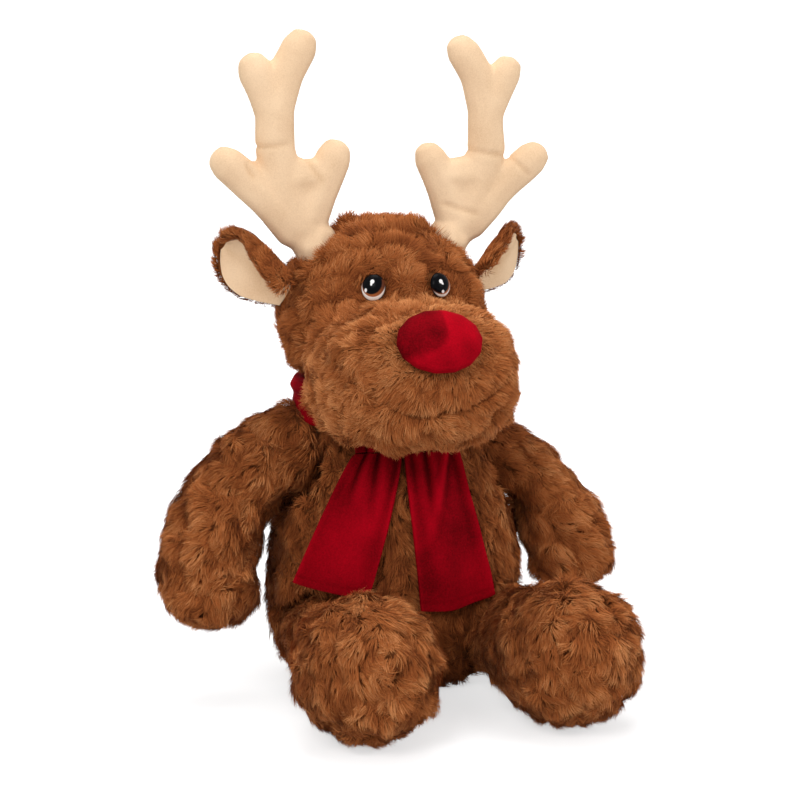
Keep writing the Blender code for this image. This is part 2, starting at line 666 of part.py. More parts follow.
def build_arm(materials, side, shoulder_out, shoulder_height, arm_out, arm_bow, arm_down):
    """An arm that hangs from its shoulder; the photo shows the two hanging unlike each other."""
    name = SIDE_NAMES[side]
    shoulder = Vector((side * shoulder_out, 0.0, shoulder_height))
    pivot = add_pivot("arm_" + name + "_pivot", shoulder)
    path = [
        shoulder + Vector((side * (arm_out * out + arm_bow * bow), -ARM_FORWARD * ahead, -arm_down * down))
        for out, bow, ahead, down in zip(ARM_OUT_SHARES, ARM_BOW_SHARES, ARM_FORWARD_SHARES, ARM_DOWN_SHARES)
    ]
    last = len(path) - 1
    swell = HAND_RADIUS - ARM_RADIUS
    radii = [within_ball(ARM_ROOT_RADIUS)] + [ARM_RADIUS + swell * i / last for i in range(1, last + 1)]
    sizes = [(radius, radius) for radius in radii]

    outward = X_AXIS * side
    depth = ARM_ROOT_RADIUS + OVERRUN

    def arm(piece_name, inset, sides=LIMB_SIDES, material=None):
        tube = add_solid(piece_name, stuffed_tube(path, sizes, Y_AXIS, sides, inset), material, pivot)
        room = add_arm_room(piece_name + "_room", shoulder, side, inset)
        cut(room, add_ball(piece_name + "_root", shoulder, ARM_ROOT_RADIUS - inset))
        cut(tube, room)
        return tube

    cover = arm("arm_" + name + "_cover", 0.0, material=materials["plush"])
    mouth = add_rod("arm_mouth_" + name, shoulder + outward * ARM_ROOT_RADIUS, -outward, MOUTH_RADIUS,
                    ARM_ROOT_RADIUS + depth)
    cut(cover, arm("arm_hollow_" + name, PLUSH, FILLING_SIDES), mouth)
    filling = arm("arm_" + name + "_filling", PLUSH + FILLING_GAP, FILLING_SIDES, materials["stuffing"])
    core_length = ARM_ROOT_RADIUS - FILLING_GAP
    join(filling, add_rod("arm_core_" + name, shoulder, outward, MOUTH_RADIUS - FILLING_GAP, core_length))
    return add_socket("arm_socket_" + name, shoulder, ARM_ROOT_RADIUS)


def build_leg(materials, side, foot_out):
    """A leg with its ball-shaped foot, cut flat where it stands, and a round sole panel in front."""
    name = SIDE_NAMES[side]
    foot = Vector((side * foot_out, -FOOT_FORWARD, FOOT_RADIUS - FLOOR_FLAT))
    hip = Vector((side * HIP_SPACING / 2, -HIP_FORWARD, HIP_HEIGHT))
    pivot = add_pivot("leg_" + name + "_pivot", hip)
    path = [hip.lerp(foot, share) for share in LEG_ALONG_SHARES]
    radii = (within_ball(HIP_RADIUS), LEG_RADIUS, (LEG_RADIUS + FOOT_RADIUS) / 2, FOOT_RADIUS)
    sizes = [(radius, radius) for radius in radii]
    along = (foot - hip).normalized()
    sole_start = foot + along * math.sqrt(FOOT_RADIUS ** 2 - SOLE_RADIUS ** 2)
    floor = add_solid("floor_" + name, [
        box_section(Vector((0, 0, -FOOT_RADIUS)), X_AXIS * TORSO_WIDTH, Y_AXIS * 2 * FOOT_FORWARD),
        box_section(Vector(), X_AXIS * TORSO_WIDTH, Y_AXIS * 2 * FOOT_FORWARD),
    ])

    def leg(piece_name, inset, sides=LIMB_SIDES, material=None):
        tube = add_solid(piece_name, stuffed_tube(path, sizes, Z_AXIS, sides, inset), material, pivot)
        rooms = []
        for i, angle in enumerate(LEG_TURNS):
            turn = Matrix.Rotation(angle, 3, "X")
            rings = [[hip + turn @ (point - hip) for point in ring] for ring in torso_rings(-GAP - inset)]
            rooms.append(add_solid(piece_name + "_room_" + str(i), rings))
        join(rooms[0], *rooms[1:])
        cut(rooms[0], add_ball(piece_name + "_root", hip, HIP_RADIUS - inset))
        cut(tube, rooms[0])
        return tube

    cover = leg("leg_" + name + "_cover", 0.0, material=materials["plush"])
    hollow = leg("leg_hollow_" + name, PLUSH, FILLING_SIDES)
    mouth = add_rod("leg_mouth_" + name, hip, -along, MOUTH_RADIUS, HIP_RADIUS + OVERRUN)
    front = add_rod("sole_room_" + name, sole_start - along * GAP, along, FOOT_RADIUS, FOOT_RADIUS)
    cut(cover, hollow, mouth, floor, front)
    leg("leg_" + name + "_filling", PLUSH + FILLING_GAP, FILLING_SIDES, materials["stuffing"])
    sole = leg("leg_" + name + "_sole", 0.0, material=materials["plush"])
    behind = (foot - hip).length + HIP_RADIUS + FOOT_RADIUS
    rest = add_rod("sole_cut_" + name, sole_start, -along, 2 * FOOT_RADIUS, behind)
    cut(sole, hollow, rest)
    return add_socket("leg_socket_" + name, hip, HIP_RADIUS)


def build_scarf_band(materials, shoulders):
    """The band with its folds, which rests round the neck and on the shoulders."""
    inner = NECK_RADIUS + GAP
    profile = [(inner, SCARF_BASE), (inner, SCARF_TOP)]
    steps = 2 * SCARF_FOLDS
    for i in range(steps + 1):
        bulge = SCARF_FOLD * (i % 2)
        radius = SCARF_RADIUS - SCARF_FOLD + bulge
        profile.append((radius, SCARF_TOP - SCARF_HEIGHT * i / steps))
    rings = turned(Vector(), X_AXIS, Y_AXIS, Z_AXIS, profile, BODY_SIDES)
    band = add_ring("scarf_band", rings, materials["velour_red"])
    cut(band, *shoulders)
    join(band, add_scarf_end("scarf_end_right", RIGHT_TAIL_X), add_scarf_end("scarf_end_left", LEFT_TAIL_X))


def tail_root(top_x):
    """The middle of the line that a tail hangs from, below the front of the band."""
    near_x = max(abs(top_x) - TAIL_TOP_WIDTH / 2, 0.0)
    return Vector((top_x, -math.sqrt(TAIL_ROOT_REACH ** 2 - near_x ** 2), TAIL_ROOT_HEIGHT))


def add_scarf_end(name, top_x):
    """The gathered cloth between the round band and the straight line that its tail hangs from."""
    root = tail_root(top_x)
    middle_radius = NECK_RADIUS + GAP + SCARF_THICKNESS / 2
    rings = []
    for height, straight in (
        (SCARF_BASE + SCARF_HEIGHT / SCARF_FOLDS, 0.0),
        (SCARF_BASE - GAP, 0.0),
        (root.z + TAIL_ROOT_RADIUS + GAP, 1.0),
    ):
        near, far = [], []
        for i in range(END_COLUMNS + 1):
            x = top_x + TAIL_TOP_WIDTH * (i / END_COLUMNS - 0.5)
            curved = -math.sqrt(middle_radius ** 2 - x ** 2)
            place = Vector((x, curved + (root.y - curved) * straight, height))
            near.append(place - Y_AXIS * TAIL_ROOT_RADIUS)
            far.append(place + Y_AXIS * TAIL_ROOT_RADIUS)
        rings.append(near + far[::-1])
    return add_solid(name, rings)


def build_scarf_tail(materials, side, top_x, slant, length):
    """One end of the scarf, gathered at the top, with folds that open towards its hem."""
    name = SIDE_NAMES[side]
    root = tail_root(top_x)
    pivot = add_pivot("scarf_tail_" + name + "_pivot", root)
    down = Vector((side * math.sin(slant), 0.0, -math.cos(slant)))
    across = Vector((math.cos(slant), 0.0, side * math.sin(slant)))
    rings = []
    for along, spread in zip(TAIL_ALONG_SHARES, TAIL_WIDTH_SHARES):
        half = (TAIL_TOP_WIDTH + (TAIL_BOTTOM_WIDTH - TAIL_TOP_WIDTH) * spread) / 2
        rings.append(tail_section(root + down * (length * along), X_AXIS.lerp(across, spread) * half))
    tail = add_solid("scarf_tail_" + name, rings, materials["velour_red"], pivot)
    start = root - X_AXIS * (TAIL_TOP_WIDTH / 2)
    join(tail, add_rod("tail_roll_" + name, start, X_AXIS, TAIL_ROOT_RADIUS, TAIL_TOP_WIDTH))


def tail_section(middle, half):
    """A slice of cloth that lies on the chest, with its folds."""
    near, far = [], []
    for i in range(STRIP_COLUMNS + 1):
        place = middle + half * (2 * i / STRIP_COLUMNS - 1)
        fold = TAIL_FOLD / 2 * math.cos(math.pi * i / 2)
        place.y = min(middle.y, -torso_front(place.x, place.z) - TAIL_STANDOFF) + fold
        near.append(place - Y_AXIS * (TAIL_THICKNESS / 2))
        far.append(place + Y_AXIS * (TAIL_THICKNESS / 2))
    return near + far[::-1]


def main():
    clear_scene()
    materials = {name: make_material(name) for name in COLOURS}
    neck_room = add_neck_room()
    right_arm = (RIGHT_SHOULDER_OUT, RIGHT_SHOULDER_HEIGHT, RIGHT_ARM_OUT, RIGHT_ARM_BOW, RIGHT_ARM_DOWN)
    left_arm = (LEFT_SHOULDER_OUT, LEFT_SHOULDER_HEIGHT, LEFT_ARM_OUT, LEFT_ARM_BOW, LEFT_ARM_DOWN)
    shoulders = [build_arm(materials, RIGHT, *right_arm), build_arm(materials, LEFT, *left_arm)]
    hips = [build_leg(materials, RIGHT, RIGHT_FOOT_OUT), build_leg(materials, LEFT, LEFT_FOOT_OUT)]
    build_torso(materials, shoulders + hips)
    head_pivot = add_pivot("head_pivot", Z_AXIS * NECK_TOP)
    pockets = []
    for side in (RIGHT, LEFT):
        pockets.append(build_antler(materials, head_pivot, side))
        pockets.append(build_ear(materials, head_pivot, side))
        pockets += build_eye(materials, head_pivot, side)
    build_head(materials, head_pivot, neck_room, pockets)
    build_muzzle(materials, head_pivot, neck_room)
    build_nose(materials, head_pivot)
    build_scarf_band(materials, shoulders)
    build_scarf_tail(materials, RIGHT, RIGHT_TAIL_X, RIGHT_TAIL_SLANT, RIGHT_TAIL_LENGTH)
    build_scarf_tail(materials, LEFT, LEFT_TAIL_X, LEFT_TAIL_SLANT, LEFT_TAIL_LENGTH)


main()
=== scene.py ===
"""Looks of the sitting plush deer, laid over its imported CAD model.

Each plush form gets a dark backing smoothed from its CAD solids, and a pile of strands that grows
from it. Antlers, ear linings, nose and scarf are short velour, and the eyes are domed plastic.
Places come from the frame, in metres; the deer faces -Y and its own left side is at +X.
"""

import json
import math

import bmesh
import bpy
import numpy as np
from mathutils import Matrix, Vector
from mathutils.bvhtree import BVHTree
from mathutils.kdtree import KDTree


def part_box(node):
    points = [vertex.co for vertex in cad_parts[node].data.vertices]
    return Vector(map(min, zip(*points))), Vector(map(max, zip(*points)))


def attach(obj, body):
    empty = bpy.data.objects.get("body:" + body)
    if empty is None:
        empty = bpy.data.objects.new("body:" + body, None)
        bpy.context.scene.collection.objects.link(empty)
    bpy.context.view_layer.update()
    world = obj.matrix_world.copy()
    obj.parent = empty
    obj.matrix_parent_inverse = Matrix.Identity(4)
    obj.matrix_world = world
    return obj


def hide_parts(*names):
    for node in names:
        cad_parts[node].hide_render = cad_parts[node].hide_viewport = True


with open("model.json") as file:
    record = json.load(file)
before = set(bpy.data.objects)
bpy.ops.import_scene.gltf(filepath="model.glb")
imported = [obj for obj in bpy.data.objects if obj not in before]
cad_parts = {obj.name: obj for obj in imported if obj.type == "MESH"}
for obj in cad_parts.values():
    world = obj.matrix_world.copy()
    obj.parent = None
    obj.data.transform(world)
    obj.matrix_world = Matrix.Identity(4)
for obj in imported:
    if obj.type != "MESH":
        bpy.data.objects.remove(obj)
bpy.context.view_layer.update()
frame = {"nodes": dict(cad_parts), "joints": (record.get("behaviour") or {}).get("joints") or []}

MM = 0.001
DEGREE = math.pi / 180
SIDES = {"right": -1, "left": 1}
JOINTS = {joint["name"]: joint for joint in frame["joints"]}

# Camera, as the photo was taken, in an image 800 pixels across
IMAGE_SIZE = 800
CAMERA_TURN = -17 * DEGREE
CAMERA_RISE = 10 * DEGREE
CAMERA_DISTANCE = 1.5
AIM = Vector((0, 0, 0.160))
AIM_PIXEL = (393, 392)
PIXEL_SIZE = 0.55 * MM
SENSOR = 36.0

# Backings
PLUSH_VOXEL = 2.6 * MM
PLUSH_INSET = 5.0 * MM
PLUSH_SMOOTHING = 14
LUMP_SIZE = 14 * MM
LUMP_DEPTH = 1.4 * MM
TUFT_SIZE = 7 * MM
TUFT_DEPTH = 1.2 * MM
# Painted shade in the dips between tufts and painted light on their crests
TUFT_SHADE = 0.20
BROAD_TONE = 0.08
VELOUR_VOXEL = 1.5 * MM
VELOUR_SMOOTHING = 8
THIN_VOXEL = 0.9 * MM

# Scarf
BAND_HEIGHT = 23 * MM
TAIL_TOP_HALVES = {"right": 11.5 * MM, "left": 15 * MM}
TAIL_SPREADS = {"right": 0.5, "left": 0.8}
TAIL_BOTTOM_HALVES = {"right": 20 * MM, "left": 22.5 * MM}
TAIL_SLANTS = {"right": 20.5 * DEGREE, "left": 8.5 * DEGREE}
TAIL_SHIFTS = {"right": 9.5 * MM, "left": 1.0 * MM}
TAIL_ENDS = {"right": 76.5 * MM, "left": 83 * MM}
TAIL_TILT_SHARE = 0.55
END_ROWS = 12
END_RISE = 15 * MM
END_LAP = 0.6 * MM
END_RADIUS = 52 * MM

# Pile
STRANDS_PER_PIECE = 96000
PILE_DENSITY = 3.85e6
PILE_WIDTH = 0.44 * MM
SHADES = 64
FLOOR_CLEARANCE = 0.3 * MM


def centre_of(node):
    low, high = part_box(node)
    return (Vector(low) + Vector(high)) / 2


def joint_place(name):
    return Vector(JOINTS[name]["pos_m"])


def tail_root(side):
    """The middle of a scarf tail's top edge; it lies on the line of the tail's hinge."""
    return joint_place(f"scarf_tail_{side}_lift") + Vector((TAIL_SHIFTS[side], 0, 0))


# Places taken from the frame
NECK_TOP = joint_place("head_turn").z
EYES = {side: centre_of("eye_" + side) for side in SIDES}
NOSE = centre_of("nose_cover")
BAND_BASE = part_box("scarf_band")[1][2] - BAND_HEIGHT


class NodeMaker:
    """Adds nodes to one tree, fills their inputs by name or number, and links them."""

    def __init__(self, tree):
        self.tree = tree

    def add(self, kind, values=None, **settings):
        node = self.tree.nodes.new(kind)
        for name, value in settings.items():
            setattr(node, name, value)
        self.fill(node, values or {})
        return node

    def fill(self, node, values):
        for key, value in values.items():
            if isinstance(value, bpy.types.NodeSocket):
                self.tree.links.new(value, node.inputs[key])
            else:
                node.inputs[key].default_value = value

    def number(self, operation, *values):
        return self.add("ShaderNodeMath", dict(enumerate(values)), operation=operation).outputs[0]

    def product(self, first, *others):
        for other in others:
            first = self.number("MULTIPLY", first, other)
        return first

    def summed(self, first, *terms):
        """The first number plus the others, each given with its factor."""
        for value, factor in terms:
            first = self.number("ADD", first, self.product(value, factor))
        return first

    def vector(self, operation, *values):
        node = self.add("ShaderNodeVectorMath", dict(enumerate(values)), operation=operation)
        return node.outputs["Value" if operation in ("DOT_PRODUCT", "LENGTH") else "Vector"]

    def scaled(self, vector, size):
        node = self.add("ShaderNodeVectorMath", {0: vector, "Scale": size}, operation="SCALE")
        return node.outputs["Vector"]

    def total(self, first, *terms):
        """The first vector plus the others, each given with its factor."""
        for vector, factor in terms:
            first = self.vector("ADD", first, self.scaled(vector, factor))
        return first

    def without(self, vector, normal):
        """The part of the vector that lies along the surface."""
        upright = self.scaled(normal, self.vector("DOT_PRODUCT", vector, normal))
        return self.vector("SUBTRACT", vector, upright)

    def parts(self, vector):
        return self.add("ShaderNodeSeparateXYZ", {0: vector}).outputs

    def noise(self, place, scale, detail=0.0, roughness=0.5):
        values = {"Vector": place, "Scale": scale, "Detail": detail, "Roughness": roughness}
        return self.add("ShaderNodeTexNoise", values).outputs

    def attribute(self, name):
        return self.add("ShaderNodeAttribute", attribute_name=name).outputs["Fac"]

    def ramp(self, value, stops):
        node = self.add("ShaderNodeValToRGB", {0: value})
        elements = node.color_ramp.elements
        while len(elements) < len(stops):
            elements.new(1.0)
        for element, (place, colour) in zip(elements, stops):
            element.position = place
            element.color = (*colour, 1.0)
        return node.outputs["Color"]

    def mixed(self, share, first, second):
        return self.add("ShaderNodeMix", {"Factor": share, 6: first, 7: second}, data_type="RGBA").outputs[2]

    def spread(self, value, low, high, to_low=0.0, to_high=1.0):
        """The value, taken from one range to another and kept inside it."""
        node = self.add("ShaderNodeMapRange", {0: value, 1: low, 2: high, 3: to_low, 4: to_high})
        return node.outputs[0]


# Meshes

def link(name, data):
    piece = bpy.data.objects.new(name, data)
    bpy.context.scene.collection.objects.link(piece)
    return piece


def read(items, field, width=3):
    """One field of all the items, a row for each."""
    values = np.empty(len(items) * width, np.float32)
    items.foreach_get(field, values)
    return values.reshape(-1, width).astype(float)


def points_of(mesh):
    return read(mesh.vertices, "co")


def normals_of(mesh):
    return read(mesh.vertex_normals, "vector")


def place_points(mesh, places):
    mesh.vertices.foreach_set("co", places.astype(np.float32).ravel())
    mesh.update()


def store(mesh, name, values, kind="FLOAT"):
    """Gives each vertex its own value, or all of them the same one."""
    attribute = mesh.attributes.new(name, kind, "POINT")
    count = len(mesh.vertices)
    field, shape = ("vector", (count, 3)) if kind == "FLOAT_VECTOR" else ("value", (count,))
    attribute.data.foreach_set(field, np.broadcast_to(np.asarray(values, np.float32), shape).ravel())


def unit(vectors):
    return vectors / np.maximum(np.linalg.norm(vectors, axis=-1, keepdims=True), 1e-9)


def step(values, low, high):
    """0 below low, 1 above high, smooth between."""
    share = np.clip((values - low) / (high - low), 0, 1)
    return share * share * (3 - 2 * share)


WAVE_COUNT = 7
WAVE_REACH = 3.2


def waves(places, size, seed):
    """A smooth pattern of about -1 to 1 with lumps of the given size."""
    random = np.random.default_rng(seed)
    total = np.zeros(len(places))
    for _ in range(WAVE_COUNT):
        way = unit(random.normal(size=3)) * random.uniform(0.7, 1.4) * math.pi / size
        total += np.sin(places @ way + random.uniform(0, 2 * math.pi))
    return total / WAVE_REACH


def merged(nodes):
    """A mesh of the CAD nodes' own shapes, with their loose triangles joined."""
    build = bmesh.new()
    for node in nodes:
        build.from_mesh(frame["nodes"][node].data)
    bmesh.ops.remove_doubles(build, verts=build.verts, dist=0.01 * MM)
    mesh = bpy.data.meshes.new(nodes[0] + "_copy")
    build.to_mesh(mesh)
    build.free()
    return mesh


def evaluated(piece):
    """The piece's finished mesh, with its modifiers applied."""
    return bpy.data.meshes.new_from_object(piece.evaluated_get(bpy.context.evaluated_depsgraph_get()))


def largest_shell(mesh):
    """The mesh with only the shell that has the most vertices."""
    build = bmesh.new()
    build.from_mesh(mesh)
    left = set(build.verts)
    largest = []
    while left:
        shell = [left.pop()]
        for vertex in shell:
            for edge in vertex.link_edges:
                other = edge.other_vert(vertex)
                if other in left:
                    left.remove(other)
                    shell.append(other)
        largest = max(largest, shell, key=len)
    kept = set(largest)
    bmesh.ops.delete(build, geom=[vertex for vertex in build.verts if vertex not in kept], context="VERTS")
    bmesh.ops.recalc_face_normals(build, faces=build.faces[:])
    build.to_mesh(mesh)
    build.free()
    return mesh


def soft_shell(name, nodes, voxel, smoothing):
    """One smooth closed shell round the CAD nodes."""
    source = link(name + "_source", merged(nodes))
    remesh = source.modifiers.new("shell", "REMESH")
    remesh.mode = "VOXEL"
    remesh.voxel_size = voxel
    smooth = source.modifiers.new("smooth", "SMOOTH")
    smooth.factor = 0.5
    smooth.iterations = smoothing
    mesh = largest_shell(evaluated(source))
    bpy.data.objects.remove(source, do_unlink=True)
    mesh.name = name
    mesh.shade_smooth()
    return mesh


def finish_piece(name, mesh, material, body, nodes=(), nap_and_painted_light=0.5):
    """Links a finished mesh with its material and its values of nap and painted light, hangs it on the body
    that carries it and hides the CAD nodes it replaces.
    """
    piece = link(name, mesh)
    store(mesh, "nap_and_painted_light", nap_and_painted_light)
    mesh.materials.clear()
    mesh.materials.append(material)
    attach(piece, body)
    if nodes:
        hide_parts(*nodes)
    return piece


# Materials

SHEEN_ROUGHNESS = 0.4
PILE_GLOSS = 0.06
NAP_GLOSS = 0.03

# Pile colours at the root, the middle and the tip, from the darkest strand to the lightest; the darker roots
# and middles are painted shade deep in the pile
PILE_ROOTS = ((0.0, (0.115, 0.032, 0.009)), (1.0, (0.26, 0.078, 0.022)))
PILE_MIDDLES = ((0.0, (0.15, 0.038, 0.010)), (0.5, (0.32, 0.088, 0.022)), (1.0, (0.52, 0.185, 0.058)))
PILE_TIPS = ((0.0, (0.21, 0.047, 0.012)), (0.5, (0.50, 0.154, 0.043)), (1.0, (0.80, 0.365, 0.140)))
PILE_SHEEN_TINT = (1.0, 0.6, 0.35)
TIP_START = 0.45

# Nap colours, of lying and of standing fibres; on the velours they also carry painted shade and painted light
GROUND_DARK = (0.130, 0.040, 0.012)
GROUND_LIGHT = (0.240, 0.078, 0.024)
CREAM_DARK = (0.60, 0.37, 0.20)
CREAM_LIGHT = (0.92, 0.665, 0.435)
CREAM_SHEEN_TINT = (1.0, 0.85, 0.65)
RED_DARK = (0.09, 0.0004, 0.002)
RED_LIGHT = (0.46, 0.0010, 0.010)
WASHER_WHITE = (0.72, 0.72, 0.70)


def new_material(name, roughness, sheen=0.0, sheen_tint=(1, 1, 1)):
    material = bpy.data.materials.new(name)
    material.use_nodes = True
    maker = NodeMaker(material.node_tree)
    shader = material.node_tree.nodes["Principled BSDF"]
    maker.fill(shader, {
        "Roughness": roughness, "Sheen Weight": sheen, "Sheen Tint": (*sheen_tint, 1.0),
        "Sheen Roughness": SHEEN_ROUGHNESS,
    })
    return material, maker, shader


def pile_material():
    """Strands dark red-brown at the root, a painted shade deep in the pile, and tan at the tip; each has its
    own shade.
    """
    material, maker, shader = new_material("long_pile", 0.75, 0.10, PILE_SHEEN_TINT)
    shade = maker.attribute("shade")
    along = maker.attribute("along")
    roots, middles, tips = (maker.ramp(shade, stops) for stops in (PILE_ROOTS, PILE_MIDDLES, PILE_TIPS))
    lower = maker.mixed(maker.spread(along, 0.0, TIP_START), roots, middles)
    colour = maker.mixed(maker.spread(along, TIP_START, 1.0), lower, tips)
    maker.fill(shader, {"Base Color": colour, "Specular IOR Level": PILE_GLOSS})
    return material


def fabric_grain_group():
    """A node group that gives the fine lie of a short nap: a mask of patches where the nap lies differently,
    and a height.
    """
    tree = bpy.data.node_groups.new("nap_grain", "ShaderNodeTree")
    for name, value in (("Patch Scale", 30.0), ("Fibre Scale", 900.0)):
        socket = tree.interface.new_socket(name, in_out="INPUT", socket_type="NodeSocketFloat")
        socket.default_value = value
    for name in ("Patches", "Fibres"):
        tree.interface.new_socket(name, in_out="OUTPUT", socket_type="NodeSocketFloat")
    maker = NodeMaker(tree)
    patch_scale, fibre_scale, _ = maker.add("NodeGroupInput").outputs
    place = maker.add("ShaderNodeTexCoord").outputs["Object"]
    patches = maker.noise(place, patch_scale, 4.0, 0.6)["Fac"]
    fibres = maker.noise(place, fibre_scale, 3.0, 0.7)["Fac"]
    maker.add("NodeGroupOutput", {"Patches": patches, "Fibres": fibres})
    return tree


def nap_material(name, grain, dark, light, patch_scale, fibre_scale, depth, sheen=0.0, sheen_tint=(1, 1, 1)):
    """Short velour: patches of two shades where the nap lies differently, fine fibres and a soft sheen.

    The nap attribute says how light each place is, apart from its grain: the nap's own lie, and painted shade
    and painted light laid over it.
    """
    material, maker, shader = new_material(name, 0.85, sheen, sheen_tint)
    scales = {"Patch Scale": patch_scale, "Fibre Scale": fibre_scale}
    nap = maker.add("ShaderNodeGroup", scales, node_tree=grain).outputs
    patches, fibres = (maker.spread(nap[kind], 0.3, 0.7, -0.5, 0.5) for kind in ("Patches", "Fibres"))
    share = maker.summed(maker.attribute("nap_and_painted_light"), (patches, 0.3), (fibres, 0.35))
    bump = maker.add("ShaderNodeBump", {"Strength": 0.5, "Distance": depth, "Height": nap["Fibres"]})
    colour = maker.ramp(share, ((0.0, dark), (1.0, light)))
    maker.fill(shader, {"Base Color": colour, "Specular IOR Level": NAP_GLOSS})
    maker.fill(shader, {"Normal": bump.outputs["Normal"]})
    return material


EYE_GLOSS = 1.12
PUPIL = (0.003, 0.003, 0.004, 1.0)
IRIS_STOPS = ((0.15, (0.42, 0.13, 0.045)), (0.55, (0.10, 0.026, 0.010)))
EYE_WHITE = (0.95, 0.89, 0.83, 1.0)
SPARKLE = (0.88, 0.86, 0.85, 1.0)

# Ellipses on the eye's map, the later ones over the earlier: middle, half sizes and soft edge
EYE_PARTS = (
    ("white", 0.5, 0.5, 0.48, 0.48, 0.03),
    ("iris", 0.51, 0.60, 0.475, 0.455, 0.03),
    ("pupil", 0.465, 0.635, 0.405, 0.400, 0.05),
    ("pupil", 0.45, 1.02, 0.64, 0.26, 0.06),
    ("sparkle", 0.48, 0.70, 0.085, 0.080, 0.15),
    ("sparkle", 0.45, 0.61, 0.045, 0.065, 0.2),
    ("sparkle", 0.23, 0.37, 0.055, 0.070, 0.2),
)


def eye_material():
    """A domed eye: its map runs from 0 to 1 across and up, and each part is a soft-edged ellipse."""
    material, maker, shader = new_material("eye_dome", 0.22)
    across, up, _ = maker.parts(maker.add("ShaderNodeUVMap", uv_map="dome").outputs["UV"])
    colours = {"white": EYE_WHITE, "iris": maker.ramp(up, IRIS_STOPS), "pupil": PUPIL, "sparkle": SPARKLE}
    colour = PUPIL
    for part, x, y, wide, tall, edge in EYE_PARTS:
        dx = maker.number("DIVIDE", maker.number("SUBTRACT", across, x), wide)
        dy = maker.number("DIVIDE", maker.number("SUBTRACT", up, y), tall)
        squares = maker.number("ADD", maker.number("POWER", dx, 2.0), maker.number("POWER", dy, 2.0))
        inside = maker.spread(maker.number("SQRT", squares), 1 + edge, 1 - edge)
        colour = maker.mixed(inside, colour, colours[part])
    maker.fill(shader, {"Base Color": colour, "IOR": EYE_GLOSS})
    return material


def moulded_material(name, colour):
    material, maker, shader = new_material(name, 0.45)
    noise = maker.noise(maker.add("ShaderNodeTexCoord").outputs["Object"], 400.0, 3.0)
    darker = tuple(part * 0.85 for part in colour)
    maker.fill(shader, {"Base Color": maker.ramp(noise["Fac"], ((0.3, darker), (0.7, colour)))})
    return material


# Pile, grown on a backing by geometry nodes

# How far each of a strand's four points goes along its middle step, its tip step and across
STRAND_MARKS = {"middle": (0, 1, 1, 0), "tip": (0, 0, 0, 1), "across": (0, -1, 1, 0)}


def strand_mesh():
    """One flat strand whose four points start together; the tree spreads them by these marks."""
    mesh = bpy.data.meshes.new("strand")
    mesh.from_pydata([(0, 0, 0)] * 4, [], [(0, 2, 1), (1, 2, 3)])
    for mark, values in STRAND_MARKS.items():
        store(mesh, mark, values)
    store(mesh, "along", [0, TIP_START, TIP_START, 1])
    cell = mesh.uv_layers.new(name="cell")
    corners = {0: (0.5, 0.02), 1: (0.1, TIP_START), 2: (0.9, TIP_START), 3: (0.5, 0.98)}
    for loop in mesh.loops:
        cell.data[loop.index].uv = corners[loop.vertex_index]
    return mesh


PILE_INPUTS = {
    "Density": PILE_DENSITY, "Length": 10 * MM, "Width": PILE_WIDTH, "Lie": 0.8, "Swirl": 1.0,
    "Swirl Size": 24 * MM, "Lock Size": 6.0 * MM, "Lock Share": 0.36, "Ragged": 0.42,
}
SMALL_LOCK = 0.45
PATCH_SIZE = 9 * MM

# How much a strand's lock, its part of the lock, its patch and its own chance change its shade
LOCK_TONE = 0.16
SMALL_LOCK_TONE = 0.14
PATCH_TONE = 1.1
STRAND_TONE = 0.22


